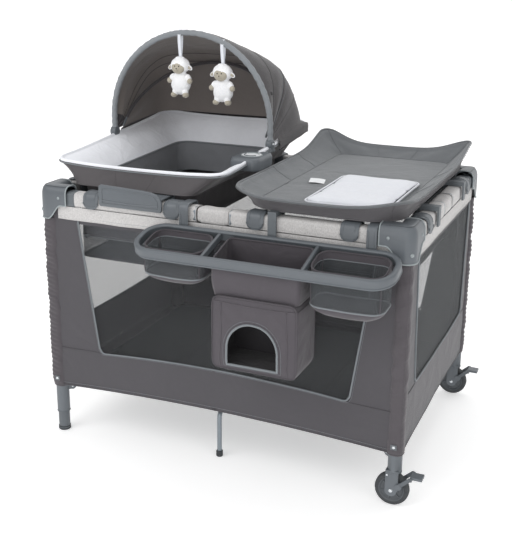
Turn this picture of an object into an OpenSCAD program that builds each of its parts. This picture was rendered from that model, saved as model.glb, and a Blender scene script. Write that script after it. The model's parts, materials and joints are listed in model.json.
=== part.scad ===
// Folding travel play yard with bassinet insert, napper, changer and organizer.

/* [Frame] */
// Half distance between post centres along the long side, mm
post_x = 493; // [480:1:505]
// Half distance between post centres along the short side, mm
post_y = 352; // [348:1:360]
// Height of the rail axis above the floor, mm
rail_z = 697; // [690:1:700]
// Radius of the steel leg tubes, mm
leg_r = 13; // [11:0.5:13]
// Radius of the steel rail tubes, mm
rail_r = 11; // [9:0.5:11]
// Half width of the padded rail covers, mm
cover_h = 20; // [18:0.5:20]
// Radius of the floor tubes, mm
floor_r = 8; // [6:0.5:8]

/* [Wheels] */
// Wheel radius, mm
wheel_r = 44; // [40:0.5:44]
// Wheel width, mm
wheel_w = 22; // [16:1:22]

/* [Soft goods] */
// Thickness of the wall fabric, mm
wall_t = 2; // [1.5:0.1:2.5]
// Thickness of the floor mat, mm
mat_t = 17; // [12:1:20]
// Height of the underside of the bassinet insert, mm
insert_z = 518; // [500:1:530]

/* [Canopy] */
// Radius of the canopy bow's arch, mm
bow_R = 255; // [250:1:256]
// Radius of the bow with its sleeve, mm
bow_r = 8; // [6:0.5:8]
// Straight part of the bow below its arch, mm
bow_s = 46; // [44:1:48]
// Height of the canopy pivots, mm
pivot_z = 815; // [815:1:818]

/* [Hidden] */
// shift that puts the origin under the middle of the bounding box
OX = -15.25;
OY = 69;
ec = 38;            // rail pivot from the post centre
lc = 22;            // rail pivot from the latch centre
fc = 20;            // floor tube pivot, inboard of the post on each axis
L1 = post_x - ec - lc;
L2 = post_y - ec - lc;
L3 = sqrt(L1*L1 + L2*L2);
hc = ec + lc - fc;  // floor tube pivot from the hub centre on each axis
fz = 134;           // height of the floor tube pivots
pin_r = 4;
bore_r = 4.06;
top_z = rail_z + cover_h;
out = cover_h + 2;  // inner face of the bracket skirts from the rail axis
$fn = 36;

module rod(a, b, r) {
  v = b - a;
  l = norm(v);
  translate(a) rotate([0, acos(v[2]/l), atan2(v[1], v[0])]) cylinder(h = l, r = r);
}
module rrect(x, y, r) {
  square([x - 2*r, y], center = true);
  square([x, y - 2*r], center = true);
  for (i = [-1, 1], j = [-1, 1]) translate([i*(x/2 - r), j*(y/2 - r)]) circle(r = r, $fn = 32);
}
module slab(x0, x1, y0, y1, z0, z1, r) {
  translate([(x0 + x1)/2, (y0 + y1)/2, z0]) linear_extrude(z1 - z0) rrect(x1 - x0, y1 - y0, r);
}
module box(x0, x1, y0, y1, z0, z1) {
  translate([x0, y0, z0]) cube([x1 - x0, y1 - y0, z1 - z0]);
}
module at_post(sx, sy) { translate([sx*post_x, sy*post_y, 0]) mirror([sx > 0 ? 0 : 1, 0, 0]) mirror([0, sy > 0 ? 0 : 1, 0]) children(); }

// legs
module leg(sx, sy) {
  color("silver") translate([sx*post_x, sy*post_y, 100]) cylinder(h = top_z + 8 - 100, r = leg_r);
}

// corner bracket in the +x +y quadrant; the arms run toward -x and -y
module bracket_shape() {
  color("slategray") difference() {
    union() {
      translate([0, 0, 634]) cylinder(h = top_z + 14 - 634, r = 19);
      box(-60, 27, -24, 27, top_z + 4, top_z + 14);
      box(-24, 27, -60, 27, top_z + 4, top_z + 14);
      box(-60, 27, out, 27, rail_z - 18, top_z + 14);
      box(out, 27, -60, 27, rail_z - 18, top_z + 14);
      box(-60, -27, -26, -out, rail_z - 12, top_z + 14);
      box(-26, -out, -60, -27, rail_z - 12, top_z + 14);
      // corner shield
      box(0, 27, out, 27, 640, rail_z);
      box(out, 27, 0, 27, 640, rail_z);
      translate([9, 9, 650]) box(0, 14, 0, 14, 0, 40);
    }
    translate([0, 0, 600]) cylinder(h = top_z + 8.2 - 600, r = leg_r + 0.05);
  }
  color("slategray") {
    translate([-ec, -24, rail_z]) rotate([-90, 0, 0]) cylinder(h = 49, r = pin_r);
    translate([-24, -ec, rail_z]) rotate([0, 90, 0]) cylinder(h = 49, r = pin_r);
  }
}
module bracket(sx, sy) { at_post(sx, sy) bracket_shape(); }

// pivot ears for a floor tube at the +x +y post
module foot_ears() {
  translate([-fc, -fc, fz]) rotate([0, 0, atan2(-L2, -L1)]) {
    for (s = [-1, 1]) {
      translate([-24, s > 0 ? 6.6 : -10.6, -10]) cube([24, 4, 20.2]);
      translate([0, s > 0 ? 6.6 : -10.6, 0]) rotate([-90, 0, 0]) cylinder(h = 4, r = 10.5);
    }
    translate([0, -10.6, 0]) rotate([-90, 0, 0]) cylinder(h = 21.2, r = pin_r);
  }
}
module foot_plain(sx, sy) {
  at_post(sx, sy) color("slategray") difference() {
    union() {
      cylinder(h = 62, r = 16);
      translate([0, 0, 58]) cylinder(h = 87, r = 18);
      foot_ears();
    }
    translate([0, 0, 99.9]) cylinder(h = 60, r = leg_r + 0.05);
  }
}
wx = post_x - 4;    // wheel centre
wz = wheel_r;
bx = 20; bz = 16;   // brake pivot from the wheel centre
module foot_wheel(sy) {
  color("slategray") difference() {
    union() {
      at_post(1, sy) { translate([0, 0, 92]) cylinder(h = 53, r = 18); foot_ears(); }
      translate([wx, sy*post_y, 0]) {
        for (s = [-1, 1]) translate([0, s > 0 ? 13.5 : -17.5, wz]) {
          rotate([-90, 0, 0]) cylinder(h = 4, r = 15);
          translate([bx, 0, bz]) rotate([-90, 0, 0]) cylinder(h = 4, r = 9);
          translate([-15, 0, 0]) cube([33, 4, 56]);
        }
        translate([-15, -17.5, wz + 48]) cube([33, 35, 8]);
        translate([0, -17.5, wz]) rotate([-90, 0, 0]) cylinder(h = 35, r = pin_r);
      }
    }
    at_post(1, sy) translate([0, 0, 99.9]) cylinder(h = 60, r = leg_r + 0.05);
    translate([wx + bx, sy*post_y, wz + bz]) for (s = [-1, 1])
      translate([0, s*15.5, 0]) rotate([90, 0, 0]) cylinder(h = 8, r = bore_r, center = true);
  }
}
module wheel(sy) {
  translate([wx, sy*post_y, wz]) rotate([90, 0, 0]) {
    color("dimgray") difference() {
      cylinder(h = wheel_w, r = wheel_r, center = true, $fn = 64);
      cylinder(h = 60, r = bore_r, center = true);
      for (s = [-1, 1]) translate([0, 0, s*wheel_w/2]) difference() {
        cylinder(h = 8, r = 31, center = true);
        cylinder(h = 9, r = 14, center = true);
      }
    }
  }
}
module brake(sy) {
  color("darkslategray") translate([wx + bx, sy*post_y, wz + bz]) {
    for (s = [-1, 1]) {
      translate([0, s > 0 ? 18.3 : -22.6, 0]) rotate([-90, 0, 0]) cylinder(h = 4.3, r = 8);
      translate([0, s > 0 ? 13.5 : -20.5, 0]) rotate([-90, 0, 0]) cylinder(h = 7, r = pin_r);
      translate([-0.6, s > 0 ? 18.6 : -22.1, -5.4]) rotate([0, -42, 0]) cube([44, 3.5, 9.6]);
    }
    translate([27, -20.6, 21]) cube([6, 41.2, 9]);
    translate([27, -14, 24]) cube([30, 28, 7]);
  }
}

// walls: sleeve round the post, half of each adjoining wall, a quarter of the base
module wall_shape(sx, sy) {
  wy = post_y + cover_h - 4;
  wxx = post_x + cover_h - 4;
  difference() {
    translate([post_x, post_y, 112]) cylinder(h = 520, r = 25);
    translate([post_x, post_y, 100]) cylinder(h = 600, r = 19.5);
    translate([post_x, post_y, 0]) rotate([0, 0, atan2(-L2, -L1)]) translate([4, -60, 100]) cube([80, 120, 47.2]);
  }
  difference() {
    union() {
      box(0.5, post_x - 10, wy, wy + wall_t, 146, rail_z - cover_h - 1);
      box(wxx, wxx + wall_t, 0.5, post_y - 10, 146, rail_z - cover_h - 1);
      box(0.5, post_x - 22, 0.5, wy + 1, 146, 148.5);
      box(0.5, wxx + 1, 0.5, post_y - 22, 146, 148.5);
    }
    translate([post_x, post_y, 100]) cylinder(h = 700, r = 19.5);
  }
}
module wall(sx, sy) {
  color("dimgray") mirror([sx > 0 ? 0 : 1, 0, 0]) mirror([0, sy > 0 ? 0 : 1, 0]) wall_shape(sx, sy);
}

// half rail from its bracket pivot, along +x
module half_rail(l) {
  color("darkgray") difference() {
    union() {
      for (p = [0, l]) translate([p, 0, 0]) rotate([90, 0, 0]) cylinder(h = 24, r = 9, center = true);
      translate([0, -9, -7]) cube([14, 18, 14]);
      translate([l - 14, -9, -7]) cube([14, 18, 14]);
      translate([10, 0, 0]) rotate([0, 90, 0]) cylinder(h = l - 20, r = rail_r);
      translate([24, 0, 0]) rotate([90, 0, 90]) linear_extrude(l - 48) rrect(2*cover_h, 2*cover_h, 11);
    }
    for (p = [0, l]) translate([p, 0, 0]) rotate([90, 0, 0]) cylinder(h = 60, r = bore_r, center = true);
  }
}
module rail_x(sx, sy) {
  translate([sx*(post_x - ec), sy*post_y, rail_z]) rotate([0, 0, sx > 0 ? 180 : 0]) half_rail(L1);
}
module rail_y(sx, sy) {
  translate([sx*post_x, sy*(post_y - ec), rail_z]) rotate([0, 0, sy > 0 ? -90 : 90]) half_rail(L2);
}
module latch_shape() {
  color("gray") {
    for (s = [-1, 1]) {
      for (p = [-lc, lc]) translate([p, s > 0 ? 15 : -20, 0]) rotate([-90, 0, 0]) cylinder(h = 5, r = 21);
      translate([-lc, s > 0 ? 15 : -20, -21]) cube([2*lc, 5, 42]);
    }
    for (p = [-lc, lc]) translate([p, -18, 0]) rotate([-90, 0, 0]) cylinder(h = 36, r = pin_r);
    translate([-9, -16, -20]) cube([18, 32, 40]);
  }
}
module latch_x(sy) { translate([0, sy*post_y, rail_z]) latch_shape(); }
module latch_y(sx) { translate([sx*post_x, 0, rail_z]) rotate([0, 0, 90]) latch_shape(); }

module floor_tube(sx, sy) {
  color("lightslategray")
  translate([sx*(post_x - fc), sy*(post_y - fc), fz]) rotate([0, 0, atan2(-sy*L2, -sx*L1)]) difference() {
    union() {
      translate([14, 0, 0]) rotate([0, 90, 0]) cylinder(h = L3 - 28, r = floor_r);
      for (p = [0, L3]) translate([p, 0, 0]) rotate([90, 0, 0]) cylinder(h = 12, r = 7.5, center = true);
      translate([0, -6, -6]) cube([17, 12, 12]);
      translate([L3 - 17, -6, -6]) cube([17, 12, 12]);
    }
    for (p = [0, L3]) translate([p, 0, 0]) rotate([90, 0, 0]) cylinder(h = 40, r = bore_r, center = true);
  }
}
gx = 10; gy = 44;   // centre leg pivots
module hub() {
  color("slategray") {
    difference() {
      union() {
        translate([0, 0, 122]) cylinder(h = 23, r = 38);
        for (s = [-1, 1]) for (k = [-1, 1])
          translate([s*gx + k*9.6 - 2, s > 0 ? 10 : -gy, 125]) cube([4, gy - 10, 18]);
      }
      for (s = [-1, 1]) translate([s*gx - 7.6, s > 0 ? 30 : -70, 100]) cube([15.2, 40, 60]);
    }
    for (s = [-1, 1]) for (k = [-1, 1])
      translate([s*gx + k*9.6 - 2, s*gy, fz]) rotate([0, 90, 0]) cylinder(h = 4, r = 9);
    for (s = [-1, 1]) translate([s*gx - 11.6, s*gy, fz]) rotate([0, 90, 0]) cylinder(h = 23.2, r = pin_r);
    for (sx = [-1, 1], sy = [-1, 1])
      translate([sx*hc, sy*hc, fz]) rotate([0, 0, atan2(sy*L2, sx*L1)]) {
        for (s = [-1, 1]) {
          translate([-30, s > 0 ? 6.6 : -10.6, -8.2]) cube([30, 4, 18]);
          translate([0, s > 0 ? 6.6 : -10.6, 0]) rotate([-90, 0, 0]) cylinder(h = 4, r = 9.5);
        }
        translate([0, -10.6, 0]) rotate([-90, 0, 0]) cylinder(h = 21.2, r = pin_r);
      }
  }
}
// centre leg: bar from the hub toward -y, bent down to the floor
module centre_leg_shape() {
  ye = 315; er = 20;
  color("lightslategray") difference() {
    union() {
      translate([-gx, -gy, fz]) rotate([0, 90, 0]) cylinder(h = 13, r = 6.7, center = true);
      translate([-gx, -gy - 4, fz]) rotate([90, 0, 0]) cylinder(h = ye - er - gy - 4, r = 6.5);
      translate([-gx, er - ye, fz - er]) rotate([0, -90, 0]) rotate([0, 0, -90]) rotate_extrude(angle = 90, $fn = 48) translate([er, 0]) circle(r = 6.5, $fn = 32);
      translate([-gx, -ye, 14]) cylinder(h = fz - er - 14, r = 6.5);
      translate([-gx, -ye, 0.5]) cylinder(h = 16, r = 8.5);
    }
    translate([-gx, -gy, fz]) rotate([0, 90, 0]) cylinder(h = 40, r = bore_r, center = true);
  }
}
module centre_leg(s) { rotate([0, 0, s > 0 ? 180 : 0]) centre_leg_shape(); }
module mattress() { color("darkslategray") slab(-462, 462, -322, 322, 150, 150 + mat_t, 30); }

// full size bassinet insert
ix = 447; iy = 313; itop = 690;
module insert_tub() {
  color("gray") difference() {
    slab(-ix, ix, -iy, iy, insert_z, itop, 30);
    slab(-ix + 3, ix - 3, -iy + 3, iy - 3, insert_z + 9, itop + 10, 27);
  }
}
module clip_shape() {
  // over a rail that runs along x, outside toward -y; y measured from the rail axis
  box(-23, 23, -25.5, 25.5, top_z + 1.5, top_z + 5);
  box(-23, 23, -25.5, -22, 692, top_z + 5);
  box(-23, 23, 22, 25.5, 676, top_z + 5);
  box(-23, 23, 22, post_y - iy, 676, 680);
}
module insert_clips() {
  color("darkslategray") {
    for (x = [-355, -114, 118, 360]) for (s = [-1, 1])
      translate([x, s*post_y, 0]) rotate([0, 0, s > 0 ? 180 : 0]) clip_shape();
    for (s = [-1, 1]) for (y = [-225, 225])
      translate([s*post_x, y, 0]) rotate([0, 0, s*90]) { clip_shape(); box(-23, 23, 22, post_x - ix, 676, 680); }
  }
}

// napper: flared padded tub over a straight lower basket
nx0 = -522; nx1 = -5; ny0 = -300; ny1 = 338;
ncx = (nx0 + nx1)/2;
tilt = atan(0.078);
module rim_slab(inset, z, h) {
  translate([ncx, (ny0 + ny1)/2, z]) rotate([tilt, 0, 0])
    linear_extrude(h) rrect(nx1 - nx0 - 2*inset, (ny1 - ny0 - 2*inset)/cos(tilt), 60 - inset*0.6);
}
module napper_tub() {
  color("dimgray") difference() {
    union() {
      hull() {
        rim_slab(0, 790, 14);
        slab(-445, -80, -318, 318, 736, 740, 30);
      }
      slab(-432, -95, -298, 298, 640, 738, 30);
    }
    hull() {
      rim_slab(22, 805, 40);
      slab(-410, -117, -272, 280, 752, 754, 24);
    }
    slab(-410, -117, -276, 276, 652, 756, 24);
    // seat for the electronics box
    box(-62, 40, -152, -28, 768, 860);
  }
}
module napper_pad() { color("white") slab(-405, -122, -270, 270, 653, 671, 22); }
module napper_frame() {
  color("slategray") {
    for (s = [-1, 1]) {
      box(-322, -142, s > 0 ? post_y + 25 : -post_y - 30, s > 0 ? post_y + 30 : -post_y - 25, 692, 750);
      box(-322, -142, s > 0 ? 302 : -post_y - 30, s > 0 ? post_y + 30 : -302, top_z + 6, top_z + 11);
      box(-322, -142, s > 0 ? 298.2 : -303, s > 0 ? 303 : -298.2, 700, top_z + 11);
    }
    // canopy pivots on the rim
    for (s = [-1, 1]) translate([ncx + s*bow_R, 20, pivot_z]) {
      rotate([0, 90, 0]) cylinder(h = 34, r = 4, center = true);
      for (k = [-1, 1]) translate([k > 0 ? 13 : -17, -11, 0]) {
        translate([0, 0, -9]) cube([4, 22, 10]);
        translate([0, 11, 0]) rotate([0, 90, 0]) cylinder(h = 4, r = 9);
      }
    }
  }
}
module electronics_box() {
  color("slategray") {
    difference() {
      slab(-60, 26, -150, -30, 769, 806, 16);
      translate([-14, -96, 803]) cylinder(h = 10, r = 27);
    }
    translate([-14, -96, 802.9]) cylinder(h = 4.5, r = 26.5);
  }
}

// canopy: fabric turned about the pivot axis, from the bow back to the rim
hy = 32;
function hood_r(x) = bow_s + sqrt(max(0, bow_R*bow_R - x*x));
function hood_out(n) = [for (i = [0:n]) let (x = bow_R*cos(180*i/n)) [hood_r(x), x]];
function hood_in(n, t) = [for (i = [0:n]) let (x = (bow_R - t)*cos(180*i/n)) [bow_s - t + sqrt(max(0, (bow_R)*(bow_R) - pow(x*bow_R/(bow_R - t), 2))), x]];
module canopy_fabric() {
  n = 24;
  color("dimgray") translate([ncx, hy, pivot_z + 11]) rotate([0, 90, 0]) rotate([0, 0, 92]) rotate_extrude(angle = 84, $fn = 96)
    difference() {
      polygon(concat([[0.5, bow_R]], hood_out(n), [[0.5, -bow_R]]));
      polygon(concat([[-1, bow_R - 3]], hood_in(n, 3), [[-1, 3 - bow_R]]));
    }
}
module bow(r) {
  // arch in the plane x-z, feet on the pivot axis
  translate([0, 0, bow_s]) rotate([90, 0, 0]) rotate_extrude(angle = 180, $fn = 96) translate([bow_R, 0]) circle(r = r, $fn = 32);
  for (s = [-1, 1]) translate([s*bow_R, 0, 12]) cylinder(h = bow_s - 12, r = r);
}
module canopy_bow_front() {
  color("gray") translate([ncx, 20, pivot_z]) difference() {
    union() {
      bow(bow_r);
      for (s = [-1, 1]) translate([s*bow_R, 0, 0]) {
        rotate([0, 90, 0]) cylinder(h = 12, r = 9, center = true);
        cylinder(h = 14, r = 6);
      }
    }
    for (s = [-1, 1]) translate([s*bow_R, 0, 0]) rotate([0, 90, 0]) cylinder(h = 60, r = 4.06, center = true);
  }
}
module canopy_bow_mid() {
  k = (bow_R - 22)/bow_R;
  color("gray") translate([ncx, 20, pivot_z]) rotate([-45, 0, 0]) {
    translate([0, 0, bow_s]) rotate([90, 0, 0]) rotate_extrude(angle = 180, $fn = 96) translate([bow_R - 20, 0]) circle(r = 3, $fn = 24);
    for (s = [-1, 1]) translate([s*(bow_R - 20), 0, 24]) cylinder(h = bow_s - 24, r = 3);
    for (s = [-1, 1]) translate([s*(bow_R - 20), 0, 24]) sphere(r = 3);
  }
}
module toy(px, pz) {
  translate([px, 20, pz]) {
    color("white") difference() {
      rotate([0, 90, 0]) cylinder(h = 6, r = 13, center = true);
      rotate([0, 90, 0]) cylinder(h = 12, r = 11, center = true);
    }
    color("white") translate([-3, -1.2, -62]) cube([6, 2.4, 50.5]);
    color("white") translate([0, 0, -78]) sphere(r = 19);
    color("ivory") translate([0, -10, -80]) sphere(r = 13);
    color("white") translate([0, 0, -118]) sphere(r = 28);
    color("tan") for (s = [-1, 1]) {
      translate([s*13, -6, -147]) sphere(r = 10);
      translate([s*29, -8, -110]) sphere(r = 8);
      translate([s*21, 0, -80]) sphere(r = 7);
    }
  }
}
function arch_z(x) = pivot_z + hood_r(x - ncx);
tlx = -290; trx = -155;

// changer
module changer_tub() {
  color("gray") difference() {
    hull() {
      slab(31, 493, -390, 382, 758, 772, 60);
      slab(75, 455, -340, 335, 732, 736, 50);
    }
    hull() {
      slab(47, 477, -374, 366, 773, 775, 50);
      slab(90, 440, -325, 320, 742, 744, 40);
    }
  }
}
module changer_pad() { color("white") slab(216, 434, -316, 8, 742.5, 754, 24); }
module hook(z0) {
  // over a rail that runs along x, outside toward -y
  box(-11, 11, -30, -25, z0, 731);
  box(-11, 11, 24, 28, 700, 731);
  box(-11, 11, -30, 28, 719, 731);
}
module changer_frame() {
  color("slategray") {
    rod([165, -post_y - 28, 725.5], [165, post_y + 28, 725.5], 5.5);
    for (s = [-1, 1]) {
      rod([165, s*150, 725.5], [post_x + 28, s*150, 725.5], 5.5);
      translate([165, s*post_y, 0]) rotate([0, 0, s > 0 ? 180 : 0]) hook(662);
      translate([post_x, s*150, 0]) rotate([0, 0, 90]) hook(680);
    }
  }
}

// organizer
ox0 = -165; ox1 = 505; oa = 15.5;
module in_org() { translate([0, -388, 674]) rotate([oa, 0, 0]) children(); }
module organizer_frame() {
  w = ox1 - ox0; d = 137; cx = (ox0 + ox1)/2;
  color("slategray") {
    in_org() translate([cx, -d/2, -24]) {
      difference() {
        linear_extrude(24) rrect(w, d, 58);
        translate([0, 0, -1]) linear_extrude(26) rrect(w - 20, d - 20, 48);
      }
      for (x = [34 - cx, 291 - cx]) translate([x - 3, -d/2 + 4, 6]) cube([6, d - 8, 14]);
    }
    for (x = [-75, 417]) {
      box(x - 13, x + 13, -post_y - 32, -post_y - 27, 646, top_z + 9);
      box(x - 13, x + 13, -post_y - 32, -post_y + 28, top_z + 5, top_z + 9);
      box(x - 13, x + 13, -post_y + 24, -post_y + 28, 702, top_z + 9);
    }
  }
}
module bag(x0, x1, y0, y1, z0, z1, t, r) {
  difference() {
    slab(x0, x1, y0, y1, z0, z1, r);
    slab(x0 + t, x1 - t, y0 + t, y1 - t, z0 + t, z1 + 5, r - t);
  }
}
module organizer_bags() {
  color("dimgray") difference() {
    union() {
      bag(-140, 24, -488, -397, 545, 650, 3, 20);
      bag(298, 478, -488, -397, 520, 650, 3, 20);
      slab(40, 285, -488, -397, 540, 650, 14);
      slab(64, 283, -512, -385, 362, 546, 14);
    }
    slab(43, 282, -485, -400, 554, 660, 11);
    slab(68, 279, -508, -389, 366, 536, 10);
    // dispensing arch in the front of the lower box
    translate([170, -490, 419]) rotate([90, 0, 0]) cylinder(h = 60, r = 66);
    box(104, 236, -550, -490, 374, 421);
    // clear of the tilted hoop
    in_org() translate([(ox0 + ox1)/2, -68.5, -28]) linear_extrude(140) difference() {
      rrect(900, 300, 20);
      rrect(ox1 - ox0 - 21, 116, 47);
    }
    in_org() for (x = [34, 291]) translate([x - 3.5, -140, -18.5]) cube([7, 140, 40]);
  }
}

module put() { translate([OX, OY, 0]) children(); }
put() leg(-1, -1);  // leg_fl
put() leg(1, -1);  // leg_fr
put() leg(-1, 1);  // leg_bl
put() leg(1, 1);  // leg_br
put() bracket(-1, -1);  // bracket_fl
put() bracket(1, -1);  // bracket_fr
put() bracket(-1, 1);  // bracket_bl
put() bracket(1, 1);  // bracket_br
put() foot_plain(-1, -1);  // foot_fl
put() foot_wheel(-1);  // foot_fr
put() foot_plain(-1, 1);  // foot_bl
put() foot_wheel(1);  // foot_br
put() wall(-1, -1);  // wall_fl
put() wall(1, -1);  // wall_fr
put() wall(-1, 1);  // wall_bl
put() wall(1, 1);  // wall_br
put() rail_x(-1, -1);  // rail_front_left
put() rail_x(1, -1);  // rail_front_right
put() rail_x(-1, 1);  // rail_back_left
put() rail_x(1, 1);  // rail_back_right
put() rail_y(-1, -1);  // rail_left_front
put() rail_y(-1, 1);  // rail_left_back
put() rail_y(1, -1);  // rail_right_front
put() rail_y(1, 1);  // rail_right_back
put() latch_x(-1);  // latch_front
put() latch_x(1);  // latch_back
put() latch_y(-1);  // latch_left
put() latch_y(1);  // latch_right
put() floor_tube(-1, -1);  // floor_tube_fl
put() floor_tube(1, -1);  // floor_tube_fr
put() floor_tube(-1, 1);  // floor_tube_bl
put() floor_tube(1, 1);  // floor_tube_br
put() hub();
put() centre_leg(-1);  // centre_leg_front
put() centre_leg(1);  // centre_leg_back
put() mattress();
put() insert_tub();
put() insert_clips();
put() napper_tub();
put() napper_pad();
put() napper_frame();
put() electronics_box();
put() canopy_fabric();
put() canopy_bow_front();
put() canopy_bow_mid();
put() toy(tlx, arch_z(tlx));  // toy_left
put() toy(trx, arch_z(trx));  // toy_right
put() changer_tub();
put() changer_pad();
put() changer_frame();
put() organizer_frame();
put() organizer_bags();
put() wheel(-1);  // wheel_front
put() wheel(1);  // wheel_back
put() brake(-1);  // brake_front
put() brake(1);  // brake_back
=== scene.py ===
import bpy, bmesh, json, math
import numpy as np
from mathutils import Matrix, Vector

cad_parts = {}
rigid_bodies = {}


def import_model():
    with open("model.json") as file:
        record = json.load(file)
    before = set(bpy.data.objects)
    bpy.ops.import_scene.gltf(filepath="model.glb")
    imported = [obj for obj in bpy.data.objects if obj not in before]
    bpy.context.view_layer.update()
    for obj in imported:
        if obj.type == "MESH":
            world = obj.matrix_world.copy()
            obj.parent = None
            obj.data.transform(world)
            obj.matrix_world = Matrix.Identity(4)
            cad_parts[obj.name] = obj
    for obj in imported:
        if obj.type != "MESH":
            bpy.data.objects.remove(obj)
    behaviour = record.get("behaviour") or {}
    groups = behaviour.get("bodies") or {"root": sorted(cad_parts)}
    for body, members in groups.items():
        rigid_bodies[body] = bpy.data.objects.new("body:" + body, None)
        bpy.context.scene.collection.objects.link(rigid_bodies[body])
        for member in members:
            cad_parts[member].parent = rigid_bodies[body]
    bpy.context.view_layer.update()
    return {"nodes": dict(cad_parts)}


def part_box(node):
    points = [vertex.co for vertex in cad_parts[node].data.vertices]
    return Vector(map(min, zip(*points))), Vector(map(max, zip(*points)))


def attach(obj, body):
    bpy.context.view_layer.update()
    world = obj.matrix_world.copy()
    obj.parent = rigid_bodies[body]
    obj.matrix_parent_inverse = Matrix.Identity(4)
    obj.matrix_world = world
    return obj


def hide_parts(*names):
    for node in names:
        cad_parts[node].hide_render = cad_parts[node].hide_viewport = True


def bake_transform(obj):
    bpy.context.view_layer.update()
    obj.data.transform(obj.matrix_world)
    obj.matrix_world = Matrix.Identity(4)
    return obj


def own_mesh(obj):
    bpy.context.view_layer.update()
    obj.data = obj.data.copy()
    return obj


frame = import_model()
NODES = frame["nodes"]

# the yard's own centre: the hub sits on it
_h0, _h1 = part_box("hub")
OX, OY = (_h0.x + _h1.x) / 2, (_h0.y + _h1.y) / 2
# post centres and rail height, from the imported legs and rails, in mm from the yard's centre
_l0, _l1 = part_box("leg_fl")
PX = -((_l0.x + _l1.x) / 2 - OX) * 1000
PY = -((_l0.y + _l1.y) / 2 - OY) * 1000
_r0, _r1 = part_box("rail_front_left")
RZ = (_r0.z + _r1.z) / 2 * 1000
TOPZ = _r1.z * 1000


def R(p):
    """a point in mm from the yard's centre, as row frame metres"""
    return (p[0] / 1000 + OX, p[1] / 1000 + OY, p[2] / 1000)


# ------------------------------------------------------------------ helpers
def vnoise(P, scale, seed=0):
    """smooth value noise in -1..1 at points P (mm); scale is the lattice step in mm"""
    P = np.asarray(P, float) / scale + seed * 17.31
    i = np.floor(P)
    f = P - i
    f = f * f * (3 - 2 * f)
    out = 0
    for dx in (0, 1):
        for dy in (0, 1):
            for dz in (0, 1):
                c = i + np.array([dx, dy, dz])
                h = np.sin(c[..., 0] * 12.9898 + c[..., 1] * 78.233 + c[..., 2] * 37.719 + seed) * 43758.5453
                h = h - np.floor(h)
                w = (f[..., 0] if dx else 1 - f[..., 0]) * (f[..., 1] if dy else 1 - f[..., 1]) * (f[..., 2] if dz else 1 - f[..., 2])
                out = out + w * h
    return out * 2 - 1


def smooth(a, b, x):
    t = np.clip((np.asarray(x, float) - a) / (b - a), 0, 1)
    return t * t * (3 - 2 * t)


def lerp(a, b, t):
    return np.asarray(a, float) * (1 - t) + np.asarray(b, float) * t


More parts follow.
